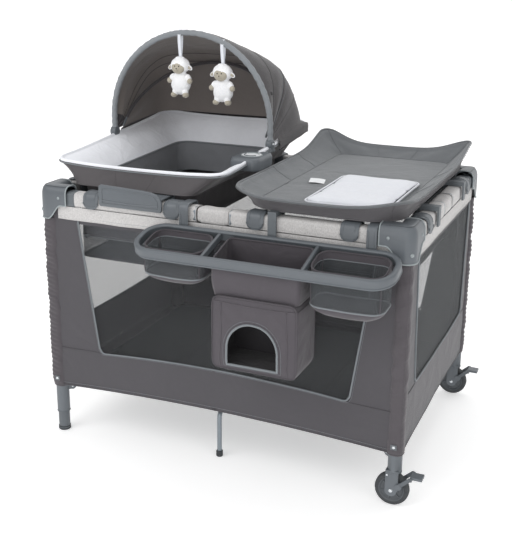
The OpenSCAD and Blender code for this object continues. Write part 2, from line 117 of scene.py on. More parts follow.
class MB:
    """gathers vertices and faces in mm from the yard's centre, with a material per part"""

    def __init__(s):
        s.v, s.f, s.m, s.mats, s.n = [], [], [], [], 0

    def mi(s, mat):
        if mat not in s.mats:
            s.mats.append(mat)
        return s.mats.index(mat)

    def add(s, V, F, mat):
        V = np.asarray(V, float).reshape(-1, 3)
        k = s.mi(mat)
        s.v.append(V)
        for f in F:
            s.f.append(tuple(int(i) + s.n for i in f))
            s.m.append(k)
        s.n += len(V)
        return s

    def grid(s, P, mat, cu=False, cv=False, flip=False):
        P = np.asarray(P, float)
        nu, nv = P.shape[:2]
        F = []
        for i in range(nu if cu else nu - 1):
            for j in range(nv if cv else nv - 1):
                a, b = i * nv + j, ((i + 1) % nu) * nv + j
                c, d = ((i + 1) % nu) * nv + (j + 1) % nv, i * nv + (j + 1) % nv
                F.append((a, d, c, b) if flip else (a, b, c, d))
        return s.add(P.reshape(-1, 3), F, mat)

    def fan(s, loop, centre, mat, flip=False):
        loop = np.asarray(loop, float)
        n = len(loop)
        V = np.vstack([loop, [centre]])
        return s.add(V, [((i + 1) % n, i, n) if flip else (i, (i + 1) % n, n) for i in range(n)], mat)

    def tube(s, path, r, mat, seg=10, closed=False, caps=True, flat=1.0, up=None):
        """a swept tube; r is a number or one per point; flat squeezes it along the second axis"""
        P = np.asarray(path, float)
        n = len(P)
        r = np.broadcast_to(np.asarray(r, float), (n,))
        if closed:
            T = np.roll(P, -1, 0) - np.roll(P, 1, 0)
        else:
            T = np.gradient(P, axis=0)
        T /= np.linalg.norm(T, axis=1)[:, None] + 1e-12
        if up is not None:
            N = np.cross(T, np.asarray(up, float))
            N /= np.linalg.norm(N, axis=1)[:, None] + 1e-9
        else:
            N = np.zeros_like(P)
            a = np.array([0, 0, 1.0]) if abs(T[0][2]) < 0.9 else np.array([1.0, 0, 0])
            v = np.cross(T[0], a)
            N[0] = v / np.linalg.norm(v)
            for i in range(1, n):
                v = N[i - 1] - T[i] * (N[i - 1] @ T[i])
                N[i] = v / (np.linalg.norm(v) + 1e-12)
        B = np.cross(T, N)
        t = np.linspace(0, 2 * np.pi, seg, endpoint=False)
        ring = np.cos(t)[None, :, None] * N[:, None, :] + flat * np.sin(t)[None, :, None] * B[:, None, :]
        V = P[:, None, :] + r[:, None, None] * ring
        s.grid(V, mat, cu=closed, cv=True)
        if caps and not closed:
            s.fan(V[0], P[0] - T[0] * r[0] * 0.35, mat)
            s.fan(V[-1], P[-1] + T[-1] * r[-1] * 0.35, mat, flip=True)
        return s

    def bm(s, bm, mat, M=None):
        bm.verts.ensure_lookup_table()
        V = np.array([v.co for v in bm.verts], float)
        if M is not None:
            M = np.array(M, float)
            V = V @ M[:3, :3].T + M[:3, 3]
        bm.verts.index_update()
        s.add(V, [[v.index for v in f.verts] for f in bm.faces], mat)
        bm.free()
        return s

    def rbox(s, x0, x1, y0, y1, z0, z1, mat, r=2.0, seg=3, M=None):
        b = bmesh.new()
        bmesh.ops.create_cube(b, size=1)
        for v in b.verts:
            v.co = ((x0 + x1) / 2 + v.co.x * (x1 - x0), (y0 + y1) / 2 + v.co.y * (y1 - y0), (z0 + z1) / 2 + v.co.z * (z1 - z0))
        bmesh.ops.bevel(b, geom=list(b.edges), offset=r, segments=seg, profile=0.5, affect="EDGES")
        return s.bm(b, mat, M)

    def prism(s, poly, h0, h1, mat, M=None, r=1.5, seg=2):
        """outline poly (x, y) raised from h0 to h1 along z, edges rounded, then placed by M"""
        b = bmesh.new()
        vs = [b.verts.new((p[0], p[1], h0)) for p in poly]
        f = b.faces.new(vs)
        e = bmesh.ops.extrude_face_region(b, geom=[f])
        for v in [g for g in e["geom"] if isinstance(g, bmesh.types.BMVert)]:
            v.co.z = h1
        bmesh.ops.recalc_face_normals(b, faces=list(b.faces))
        if r > 0:
            flat = [g for g in b.edges if len(g.link_faces) == 2 and abs(g.calc_face_angle(0)) > 0.9]
            bmesh.ops.bevel(b, geom=flat, offset=r, segments=seg, profile=0.5, affect="EDGES")
        return s.bm(b, mat, M)

    def lathe(s, prof, mat, M=None, seg=48, close=False):
        """prof (radius, height) turned about z, then placed by M"""
        prof = np.asarray(prof, float)
        t = np.linspace(0, 2 * np.pi, seg, endpoint=False)
        V = np.stack([prof[:, None, 0] * np.cos(t), prof[:, None, 0] * np.sin(t), np.repeat(prof[:, 1:2], seg, 1)], -1)
        if M is not None:
            M = np.array(M, float)
            V = V @ M[:3, :3].T + M[:3, 3]
        return s.grid(V, mat, cu=close, cv=True)

    def ball(s, c, rad, mat, M=None, nu=20, nv=14, warp=None):
        """a closed rounded body, warped by a function so that it is not a plain sphere"""
        u = np.linspace(0, 2 * np.pi, nu, endpoint=False)
        w = np.linspace(0, np.pi, nv)
        D = np.stack([np.sin(w)[:, None] * np.cos(u), np.sin(w)[:, None] * np.sin(u), np.repeat(np.cos(w)[:, None], nu, 1)], -1)
        V = D * np.asarray(rad, float)
        if warp is not None:
            V = warp(V, D)
        if M is not None:
            V = V @ np.array(M, float)[:3, :3].T
        return s.grid(V + np.asarray(c, float), mat, cv=True)

    def screw(s, c, n, r, mat, slot=None):
        """a domed rivet or screw head at c, facing n"""
        z = Vector(n).normalized()
        Mx = (Matrix.Translation(Vector(c)) @ z.to_track_quat("Z", "Y").to_matrix().to_4x4())
        s.lathe([(0.01, r * 0.62), (r * 0.45, r * 0.56), (r * 0.8, r * 0.34), (r, 0), (r, -0.8)], mat, M=Mx, seg=18)
        return s

    def obj(s, name, body=None, sharp=38, weld=0.02, thick=None, sub=0, offset=-1.0):
        V = np.vstack(s.v)
        co = V * 0.001 + np.array([OX, OY, 0])
        me = bpy.data.meshes.new(name)
        me.from_pydata(co.tolist(), [], s.f)
        for m in s.mats:
            me.materials.append(m)
        me.polygons.foreach_set("material_index", np.array(s.m, np.int32))
        me.validate()
        if weld:
            b = bmesh.new()
            b.from_mesh(me)
            bmesh.ops.remove_doubles(b, verts=list(b.verts), dist=weld / 1000)
            bmesh.ops.recalc_face_normals(b, faces=list(b.faces))
            b.to_mesh(me)
            b.free()
        me.polygons.foreach_set("use_smooth", np.ones(len(me.polygons), bool))
        if sharp:
            me.set_sharp_from_angle(angle=math.radians(sharp))
        o = bpy.data.objects.new(name, me)
        bpy.context.scene.collection.objects.link(o)
        if sub:
            m = o.modifiers.new("round", "SUBSURF")
            m.levels = m.render_levels = sub
        if thick:
            m = o.modifiers.new("thick", "SOLIDIFY")
            m.thickness = thick / 1000
            m.offset = offset
        if body:
            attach(o, body)
        return o


def tri_fold(o, axis):
    """gives the half panel a mesh of its own"""
    if axis == "x":
        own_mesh(o)
    else:
        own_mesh(o)


def rr(x0, x1, y0, y1, r, ns=14, nc=8):
    """rounded rectangle, same count and order of points for any size"""
    out = []
    cs = [((x1 - r, y0 + r), -90), ((x1 - r, y1 - r), 0), ((x0 + r, y1 - r), 90), ((x0 + r, y0 + r), 180)]
    st = [((x0 + r, y0), (x1 - r, y0)), ((x1, y0 + r), (x1, y1 - r)), ((x1 - r, y1), (x0 + r, y1)), ((x0, y1 - r), (x0, y0 + r))]
    for k in range(4):
        a, b = np.array(st[k][0], float), np.array(st[k][1], float)
        for t in np.linspace(0, 1, ns, endpoint=False):
            out.append(a + (b - a) * t)
        (cx, cy), a0 = cs[k]
        for t in np.linspace(0, 90, nc, endpoint=False):
            q = math.radians(a0 + t)
            out.append(np.array([cx + r * math.cos(q), cy + r * math.sin(q)]))
    return np.array(out)


def rr4(x0, x1, y0, y1, r, ns=14, nc=8):
    """as rr, with its own radius at each corner: front right, back right, back left, front left"""
    a, b, c, d = r
    out = []
    cs = [((x1 - a, y0 + a), -90, a), ((x1 - b, y1 - b), 0, b), ((x0 + c, y1 - c), 90, c), ((x0 + d, y0 + d), 180, d)]
    st = [((x0 + d, y0), (x1 - a, y0)), ((x1, y0 + a), (x1, y1 - b)), ((x1 - b, y1), (x0 + c, y1)), ((x0, y1 - c), (x0, y0 + d))]
    for k in range(4):
        p, q = np.array(st[k][0], float), np.array(st[k][1], float)
        for t in np.linspace(0, 1, ns, endpoint=False):
            out.append(p + (q - p) * t)
        (cx, cy), a0, rad = cs[k]
        for t in np.linspace(0, 90, nc, endpoint=False):
            w = math.radians(a0 + t)
            out.append(np.array([cx + rad * math.cos(w), cy + rad * math.sin(w)]))
    return np.array(out)


def at(loop, z):
    """a flat loop with a height, a number or one per point"""
    z = np.broadcast_to(np.asarray(z, float), (len(loop),))
    return np.column_stack([loop[:, 0], loop[:, 1], z])


def rotz(a, t=(0, 0, 0)):
    return Matrix.Translation(Vector(t)) @ Matrix.Rotation(math.radians(a), 4, "Z")


# ---------------------------------------------------------------- materials
def srgb(h):
    h = h.lstrip("#")
    c = [int(h[i:i + 2], 16) / 255 for i in (0, 2, 4)]
    return tuple((x / 12.92 if x <= 0.04045 else ((x + 0.055) / 1.055) ** 2.4) for x in c) + (1.0,)


class G:
    """a small helper round one material's nodes"""

    def __init__(s, name):
        s.mat = bpy.data.materials.new(name)
        s.mat.use_nodes = True
        s.t = s.mat.node_tree
        s.t.nodes.clear()
        s.out = s.t.nodes.new("ShaderNodeOutputMaterial")
        s.co = s.t.nodes.new("ShaderNodeTexCoord").outputs["Object"]

    def n(s, kind, **inputs):
        k = s.t.nodes.new(kind)
        for a, b in inputs.items():
            if a.startswith("_"):
                setattr(k, a[1:], b)
                continue
            sock = k.inputs[int(a[1:])] if a[0] == "i" and a[1:].isdigit() else k.inputs[a.replace("_", " ")]
            if isinstance(b, bpy.types.NodeSocket):
                s.t.links.new(b, sock)
            else:
                sock.default_value = b
        return k

    def math(s, op, a, b=0.0, clamp=False):
        k = s.n("ShaderNodeMath", _operation=op, i0=a, i1=b, _use_clamp=clamp)
        return k.outputs[0]

    def noise(s, scale, detail=2.0, rough=0.5, dist=0.0, stretch=None):
        co = s.co
        if stretch:
            co = s.n("ShaderNodeMapping", Vector=s.co, Scale=stretch).outputs[0]
        return s.n("ShaderNodeTexNoise", Vector=co, Scale=scale, Detail=detail, Roughness=rough, Distortion=dist).outputs[0]

    def wave(s, scale, direction="X", rot=None, dist=0.0):
        co = s.co
        if rot:
            co = s.n("ShaderNodeMapping", Vector=s.co, Rotation=rot).outputs[0]
        return s.n("ShaderNodeTexWave", Vector=co, Scale=scale, Distortion=dist, _bands_direction=direction).outputs[1]

    def mix(s, f, a, b, mode="MIX"):
        k = s.t.nodes.new("ShaderNodeMix")
        k.data_type = "RGBA"
        k.blend_type = mode
        for sock, v in ((k.inputs[0], f), (k.inputs[6], a), (k.inputs[7], b)):
            if isinstance(v, bpy.types.NodeSocket):
                s.t.links.new(v, sock)
            else:
                sock.default_value = v
        return k.outputs[2]

    def ramp(s, f, *stops):
        k = s.t.nodes.new("ShaderNodeValToRGB")
        s.t.links.new(f, k.inputs[0])
        e = k.color_ramp.elements
        while len(e) < len(stops):
            e.new(0.5)
        for q, (p, c) in zip(e, stops):
            q.position = p
            q.color = c if len(c) == 4 else (*c, 1)
        return k.outputs[0]

    def bump(s, h, strength, dist, normal=None):
        k = s.n("ShaderNodeBump", Height=h, Strength=strength, Distance=dist)
        if normal is not None:
            s.t.links.new(normal, k.inputs["Normal"])
        return k.outputs[0]

    def bsdf(s, color, rough, normal=None, metal=0.0, sheen=0.0, coat=0.0, spec=0.5, sheen_tint=None):
        k = s.n("ShaderNodeBsdfPrincipled", Base_Color=color, Roughness=rough, Metallic=metal)
        k.inputs["Sheen Weight"].default_value = sheen
        k.inputs["Sheen Roughness"].default_value = 0.45
        k.inputs["Coat Weight"].default_value = coat
        k.inputs["Coat Roughness"].default_value = 0.25
        k.inputs["Specular IOR Level"].default_value = spec
        if normal is not None:
            s.t.links.new(normal, k.inputs["Normal"])
        s.t.links.new(k.outputs[0], s.out.inputs[0])
        return k


def sc(col, k):
    return tuple(min(1, c * k) for c in col[:3]) + (1.0,)


def cloth(name, hexcol, period=1.6, weave=0.35, wrinkle=0.35, wr_scale=22, var=0.12, rough=0.86, sheen=0.25, melange=0.0, mel_scale=520, spec=0.3, weave_dist=0.0004):
    """woven cloth: crossed threads, a slow change of tone, small creases; melange mixes pale and dark fibres"""
    g = G(name)
    base = srgb(hexcol)
    k = 2 * math.pi / (20 * period / 1000)
    a = g.wave(k, "X", rot=(0, 0, math.radians(45)), dist=0.6)
    b = g.wave(k, "Z", rot=(math.radians(20), 0, math.radians(20)), dist=0.6)
    thr = g.math("MAXIMUM", a, b)
    slow = g.noise(7, 3, 0.6)
    mid = g.noise(70, 2, 0.55)
    fine = g.noise(1100, 2, 0.6)
    col = g.mix(slow, sc(base, 1 - var), sc(base, 1 + var))
    col = g.mix(g.math("MULTIPLY", mid, 0.35), col, sc(base, 0.82))
    if melange:
        fib = g.noise(mel_scale, 3, 0.7, 0.4, stretch=(1, 1, 2.6))
        f2 = g.noise(mel_scale * 0.45, 2, 0.6, 0.2, stretch=(2.2, 2.2, 1))
        m = g.math("ADD", g.math("MULTIPLY", fib, 0.65), g.math("MULTIPLY", f2, 0.35))
        tone = g.ramp(m, (0.38, sc(base, 1 - melange)), (0.5, base), (0.62, sc(base, 1 + melange)))
        col = g.mix(0.8, col, tone)
    col = g.mix(g.math("MULTIPLY", thr, weave * 0.4), col, sc(base, 1.22))
    rg = g.math("ADD", g.math("MULTIPLY", fine, 0.12), rough - 0.06, clamp=True)
    wr = g.noise(wr_scale, 3, 0.5, 1.2)
    n = g.bump(wr, wrinkle, 0.006)
    n = g.bump(g.math("ADD", thr, fine), weave, weave_dist, n)
    g.bsdf(col, rg, n, sheen=sheen, spec=spec)
    return g.mat


def plastic(name, hexcol, rough=0.42, var=0.05, coat=0.0, grain=0.08):
    """moulded plastic: fine grain, faint flow marks, and a painted highlight that makes sharp edges paler"""
    g = G(name)
    base = srgb(hexcol)
    slow = g.noise(9, 3, 0.6)
    fine = g.noise(1400, 2, 0.6)
    scuff_and_highlight = g.noise(120, 4, 0.7, 0.6, stretch=(1, 1, 0.25))
    col = g.mix(slow, sc(base, 1 - var), sc(base, 1 + var))
    # painted highlight: sharp edges, found by pointiness and broken up by a stretched noise, are mixed toward a paler
    # colour; the same noise also varies roughness
    pt = g.n("ShaderNodeNewGeometry").outputs["Pointiness"]
    edge = g.ramp(pt, (0.50, (0, 0, 0, 1)), (0.60, (1, 1, 1, 1)))
    edge_highlight = g.math("MULTIPLY", g.math("MULTIPLY", edge, scuff_and_highlight), 0.55)
    col = g.mix(edge_highlight, col, sc(base, 1.75))
    rg = g.math("ADD", g.math("MULTIPLY", scuff_and_highlight, 0.16), rough - 0.08, clamp=True)
    n = g.bump(fine, grain, 0.0003)
    n = g.bump(slow, 0.05, 0.002, n)
    g.bsdf(col, rg, n, coat=coat, spec=0.5)
    return g.mat


def metal(name, hexcol, rough=0.34, metallic=0.75, streak=0.25):
    """painted or plated steel tube with fine drawn lines and dull patches"""
    g = G(name)
    base = srgb(hexcol)
    st = g.noise(260, 2, 0.6, 0.2, stretch=(1, 1, 0.12))
    slow = g.noise(12, 3, 0.6)
    col = g.mix(slow, sc(base, 0.93), sc(base, 1.07))
    col = g.mix(g.math("MULTIPLY", st, streak * 0.5), col, sc(base, 0.7))
    rg = g.math("ADD", g.math("MULTIPLY", st, streak), rough - 0.1, clamp=True)
    g.bsdf(col, rg, g.bump(st, 0.06, 0.0005), metal=metallic)
    return g.mat


def rubber(name, hexcol, rough=0.62):
    g = G(name)
    base = srgb(hexcol)
    slow, fine = g.noise(30, 3, 0.6), g.noise(900, 3, 0.7)
    dust = g.noise(60, 4, 0.75, 0.8)
    col = g.mix(slow, sc(base, 0.88), sc(base, 1.12))
    col = g.mix(g.math("MULTIPLY", g.math("SUBTRACT", dust, 0.45, clamp=True), 0.9), col, srgb("#6a6965"))
    g.bsdf(col, g.math("ADD", g.math("MULTIPLY", fine, 0.15), rough - 0.07), g.bump(fine, 0.18, 0.0004), spec=0.35)
    return g.mat


def netting(name, hexcol, cover=0.2, period=2.4, strength=0.75):
    """open net: knotted threads round small holes that show what is behind"""
    g = G(name)
    base = srgb(hexcol)
    k = 2 * math.pi / (20 * period / 1000)
    a = g.wave(k, "X", rot=(0, 0, math.radians(45)))
    b = g.wave(k, "Z")
    c = g.wave(k, "Z", rot=(math.radians(35), math.radians(35), 0))
    thr = g.math("MAXIMUM", g.math("MAXIMUM", a, b), c)
    lines = g.math("MULTIPLY", g.math("SUBTRACT", thr, 0.80, clamp=True), 5.0, clamp=True)
    f = g.math("ADD", g.math("MULTIPLY", lines, strength * cover * 2), cover * (1 - strength) + 0.02, clamp=True)
    slow = g.noise(9, 3, 0.6)
    col = g.mix(slow, sc(base, 0.9), sc(base, 1.1))
    p = g.n("ShaderNodeBsdfPrincipled", Base_Color=col, Roughness=0.8)
    p.inputs["Specular IOR Level"].default_value = 0.25
    g.t.links.new(g.bump(thr, 0.3, 0.0004), p.inputs["Normal"])
    tr = g.n("ShaderNodeBsdfTransparent")
    mx = g.n("ShaderNodeMixShader", i0=f, i1=tr.outputs[0], i2=p.outputs[0])
    g.t.links.new(mx.outputs[0], g.out.inputs[0])
    return g.mat


def matweave(name, hexcol):
    """floor mat: dark knit with rows of small pale pits"""
    g = G(name)
    base = srgb(hexcol)
    v = g.n("ShaderNodeTexVoronoi", Vector=g.n("ShaderNodeMapping", Vector=g.co, Scale=(1, 1.6, 1)).outputs[0], Scale=150.0, Randomness=0.25).outputs[0]
    pit = g.ramp(v, (0.15, (1, 1, 1, 1)), (0.45, (0, 0, 0, 1)))
    slow, fine = g.noise(8, 3, 0.6), g.noise(900, 2, 0.6)
    col = g.mix(slow, sc(base, 0.85), sc(base, 1.15))
    col = g.mix(g.math("MULTIPLY", pit, 0.5), col, sc(base, 2.0))
    n = g.bump(g.noise(20, 3, 0.5, 1.0), 0.25, 0.005)
    n = g.bump(pit, 0.4, 0.0008, n)
    g.bsdf(col, g.math("ADD", g.math("MULTIPLY", fine, 0.1), 0.8), n, sheen=0.1, spec=0.25)
    return g.mat


def plush(name, hexcol, scale=420, var=0.06):
    g = G(name)
    base = srgb(hexcol)
    v = g.n("ShaderNodeTexVoronoi", Vector=g.co, Scale=float(scale), Randomness=0.9).outputs[0]
    fine = g.noise(1300, 3, 0.7)
    col = g.mix(v, sc(base, 1 + var), sc(base, 1 - 2.2 * var))
    n = g.bump(v, 0.45, 0.0012)
    n = g.bump(fine, 0.3, 0.0005, n)
    g.bsdf(col, g.math("ADD", g.math("MULTIPLY", fine, 0.1), 0.86), n, sheen=0.5, spec=0.2)
    return g.mat


M_WALL = cloth("wall_cloth", "#504e52", period=1.5, weave=0.3, wrinkle=0.5, wr_scale=9, var=0.05, rough=0.8)
M_SLEEVE = cloth("sleeve_cloth", "#545054", period=1.5, weave=0.3, wrinkle=0.45, wr_scale=30, var=0.06, rough=0.8)
M_HEATHER = cloth("heather_cloth", "#c2c0bf", period=1.9, weave=0.35, wrinkle=0.25, wr_scale=24, var=0.05, melange=0.30, mel_scale=420, sheen=0.2)
M_PIPE = cloth("piping_tape", "#7d8286", period=1.1, weave=0.5, wrinkle=0.15, var=0.05, rough=0.75)
M_NET = netting("wall_net", "#6d6f71", cover=0.17)
M_NETS = netting("side_net", "#5c5e60", cover=0.66, strength=0.55)
M_NETD = netting("basket_net", "#505356", cover=0.70, period=2.6, strength=0.7)
M_MAT = matweave("mat_cloth", "#35373a")
M_MATEDGE = cloth("mat_binding", "#3f4144", period=1.2, weave=0.5, var=0.05)
M_INSERT = cloth("insert_cloth", "#54555a", period=1.5, weave=0.3, wrinkle=0.4, var=0.08)
M_INET = netting("insert_net", "#4d5055", cover=0.62, period=2.2, strength=0.6)
M_SHELL = cloth("napper_shell_cloth", "#575456", period=1.4, weave=0.28, wrinkle=0.75, wr_scale=9, var=0.07, rough=0.78)
M_LINING = cloth("napper_lining_cloth", "#f4f6fc", period=1.5, weave=0.25, wrinkle=0.55, wr_scale=18, var=0.03, rough=0.82, sheen=0.35)
M_INNER = cloth("napper_inner_cloth", "#808286", period=1.4, weave=0.28, wrinkle=0.5, wr_scale=14, var=0.07, rough=0.75)
M_WHITE = cloth("pad_cloth", "#e2e4ea", period=1.5, weave=0.3, wrinkle=0.5, wr_scale=26, var=0.03, rough=0.85)
M_HOODIN = cloth("hood_inner_cloth", "#7a736f", period=1.4, weave=0.28, wrinkle=0.6, wr_scale=9, var=0.12, rough=0.7, sheen=0.35)
M_HOOD = cloth("hood_cloth", "#454244", period=1.4, weave=0.28, wrinkle=0.42, wr_scale=10, var=0.10, rough=0.74, sheen=0.3)
M_BOW = cloth("bow_sleeve_cloth", "#888c90", period=1.3, weave=0.35, wrinkle=0.5, wr_scale=60, var=0.08, rough=0.7)
M_CHANGER = cloth("changer_cloth", "#6f7275", period=1.5, weave=0.3, wrinkle=0.40, wr_scale=14, var=0.05, rough=0.76)
M_CHUNDER = cloth("changer_under_cloth", "#5d5b5e", period=1.5, weave=0.3, wrinkle=0.45, wr_scale=16, var=0.07, rough=0.8)
M_BAG = cloth("organizer_cloth", "#504c51", period=1.4, weave=0.28, wrinkle=0.85, wr_scale=11, var=0.08, rough=0.74)
M_BAGIN = cloth("organizer_inner_cloth", "#3c3a3d", period=1.4, weave=0.28, wrinkle=0.45, wr_scale=18, var=0.08, rough=0.8)
M_SLATE = plastic("slate_plastic", "#5c6166", rough=0.40)
M_SLATE2 = plastic("slate_plastic_matt", "#5a5f63", rough=0.50)
M_DARK = plastic("dark_plastic", "#484c50", rough=0.48)
M_SILVER = plastic("silver_trim", "#8f9698", rough=0.35)
M_STEEL = metal("grey_steel", "#8b939a", rough=0.36, metallic=0.7)
M_BRIGHT = metal("bright_steel", "#d5d9dc", rough=0.22, metallic=0.95, streak=0.1)
M_RUBBER = rubber("wheel_rubber", "#3b3e41")
M_HUBP = plastic("wheel_hub_plastic", "#4c5054", rough=0.45)
M_PLUSH = plush("plush_white", "#fafbff")
M_PLUSHB = plush("plush_beige", "#b4ad9e", scale=520)
M_EYE = plastic("bead_black", "#1b1a1c", rough=0.2, coat=0.5)
M_RIBBON = cloth("ribbon_cloth", "#e4e7ee", period=0.9, weave=0.4, wrinkle=0.15, var=0.03)
M_LABEL = plastic("label_white", "#e6e8ea", rough=0.4)
M_TAG = cloth("tag_cloth", "#232324", period=0.9, weave=0.5, wrinkle=0.1, var=0.1)

# ------------------------------------------------ corner posts and top rails
CORNERS = {"fl": (-1, -1), "fr": (1, -1), "bl": (-1, 1), "br": (1, 1)}
LEGB = {"fl": "leg_front_left", "fr": "leg_front_right", "bl": "leg_back_left", "br": "leg_back_right"}
LX = {"fl": "front_left", "fr": "front_right", "bl": "back_left", "br": "back_right"}
LY = {"fl": "left_front", "fr": "right_front", "bl": "left_back", "br": "right_back"}


def cmap(V, sx, sy):
    """(a, b, z) from the post toward the panel middles, to mm from the yard's centre"""
    V = np.asarray(V, float)
    out = V.copy()
    out[..., 0] = sx * (PX - V[..., 0])
    out[..., 1] = sy * (PY - V[..., 1])
    return out


def corner_path(o, end=60.0, n1=16, n2=14):
    """an L round the post at offset o outward, rounded at the corner; gives points and a 0..1 nearness to the corner"""
    pts, near = [], []
    a0 = max(0.0, -o)
    for t in np.linspace(0, 1, n1):
        a = end + (a0 - end) * t
        pts.append((a, -o)); near.append(a)
    for t in np.linspace(0, math.pi / 2, n2 + 2)[1:-1]:
        if o > 0:
            pts.append((-o * math.sin(t), -o * math.cos(t)))
        else:
            pts.append((a0, a0))
        near.append(0.0)
    for t in np.linspace(0, 1, n1):
        a = a0 + (end - a0) * t
        pts.append((-o, a)); near.append(a)
    return np.array(pts), np.array(near)


def bracket(c):
    sx, sy = CORNERS[c]
    b = MB()
    _, near = corner_path(27)
    zlow = 679 - 39 * (1 - smooth(2, 44, near))
    outer = [(27, 0.0), (27.2, 0.35), (27, 0.72), (26.4, 0.9), (24.6, 1.0)]
    tops = [(21, 726.5), (15, 729.8), (6, 731), (-6, 731), (-15, 729.8), (-21, 726.5), (-25.5, 719), (-26.6, 706), (-26.6, 690)]
    rings = []
    for o, t in outer:
        p, _ = corner_path(o)
        z = zlow + (719 - zlow) * t
        rings.append(np.column_stack([p, z]))
    for o, z in tops:
        p, _ = corner_path(o)
        rings.append(np.column_stack([p, np.full(len(p), float(z))]))
    inner = [(-24, 690), (-23.6, 706), (-22.5, 716), (-18, 723), (-6, 727), (6, 727), (18, 723), (22, 716)]
    for o, z in inner:
        p, _ = corner_path(o)
        rings.append(np.column_stack([p, np.full(len(p), float(z))]))
    p, _ = corner_path(24)
    rings.append(np.column_stack([p, zlow + 3]))
    P = cmap(np.stack(rings), sx, sy)
    b.grid(P, M_SLATE, cu=True)
    n = len(rings)
    # ends closed between the outer and inner skins
    for k in (0, -1):
        E = P[:, k]
        m = n // 2
        F = []
        for i in range(m - 1):
            F.append((i, i + 1, n - 2 - i, n - 1 - i))
        b.add(E, F, M_SLATE)
    # raised silver trim along the lower edge and round both ends
    po, _ = corner_path(27.4)
    b.tube(cmap(np.column_stack([po, zlow + 1.0]), sx, sy), 1.9, M_SILVER, seg=8)
    for k in (0, -1):
        E = np.stack([r[k] for r in rings[:14]])
        d = np.array([1.0, 0, 0]) if k == 0 else np.array([0, 1.0, 0])
        b.tube(cmap(E + 0.6 * d, sx, sy), 1.8, M_SILVER, seg=8)
    # recessed line round the top, and the rivet on the corner shield
    for o, z in ((17, 729.5), (-17, 729.3)):
        p, _ = corner_path(o, end=57)
        b.tube(cmap(np.column_stack([p, np.full(len(p), z)]), sx, sy), 0.9, M_DARK, seg=6)
    q = 27.4 * math.sin(math.pi / 4)
    b.screw(cmap((-q, -q, 663), sx, sy), (sx, sy, 0.0), 5.0, M_SILVER)
    b.screw(cmap((38, -27.2, 700), sx, sy), (0, sy, 0), 4.2, M_SILVER)
    b.screw(cmap((-27.2, 38, 700), sx, sy), (sx, 0, 0), 4.2, M_SILVER)
    o = b.obj("bracket_shell_" + c, LEGB[c], sharp=48)
    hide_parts("bracket_" + c)


def sleeve(c):
    """the cloth sleeve round a post, gathered by its seams"""
    sx, sy = CORNERS[c]
    b = MB()
    nz, nu = 190, 56
    z = np.linspace(142, 642, nz)
    t = np.linspace(0, 2 * np.pi, nu, endpoint=False)
    Z, T = np.meshgrid(z, t, indexing="ij")
    ex = 2 / 2.7
    cx = np.sign(np.cos(T)) * np.abs(np.cos(T)) ** ex
    cy = np.sign(np.sin(T)) * np.abs(np.sin(T)) ** ex
    sd = {"fl": 1, "fr": 2, "bl": 3, "br": 4}[c]
    amp = 2.1 if c == "br" else 1.3
    ruck = np.sin(T * 2 + Z / (8.5 + sd) + 2.2 * vnoise(np.stack([T * 9, Z / 3, T * 0], -1), 14, sd))
    gate = 0.35 + 0.65 * smooth(-0.2, 0.6, vnoise(np.stack([T * 14, Z, T * 0], -1), 60, sd + 7))
    r = 21.2 + amp * ruck * gate + 1.2 * vnoise(np.stack([T * 10, Z, T * 0], -1), 34, sd + 3)
    # the elastic strip down the outer corner draws the cloth into short ruffles
    out = smooth(0.1, 0.72, np.cos(T - 5 * np.pi / 4)) * smooth(150, 175, Z) * (1 - smooth(612, 632, Z))
    ph = 5.0 * vnoise(np.stack([T * 6, Z, T * 0], -1), 46, sd + 11)
    draw = {"fl": 1.0, "fr": 0.12, "bl": 1.0, "br": 1.15}[c]
    r = r + out * draw * (1.6 + 1.15 * np.sin(2 * np.pi * (Z + ph) / (13.0 + 0.4 * sd) + 3.4 * T))
    r = r - 2.2 * (1 - smooth(142, 152, Z)) - 1.5 * smooth(634, 642, Z)
    P = np.stack([cx * r, cy * r, Z], -1)
    lap = P[:, :1] * np.array([1.003, 1.003, 1.0])
    b.grid(cmap(np.concatenate([P, lap], 1), sx, sy), M_SLEEVE)
    P = cmap(P, sx, sy)
    # hem rolls
    for k, zz in ((1, 145), (-2, 638)):
        b.tube(P[k], 1.5, M_SLEEVE, seg=6, closed=True)
    # corner seam down the outside, with a stitched lap
    ks = int(round(nu * 5 / 8))
    b.tube(P[3:-3, ks], 0.7, M_SLEEVE, seg=6)
    o = b.obj("post_sleeve_" + c, LEGB[c], sharp=0)
    return o


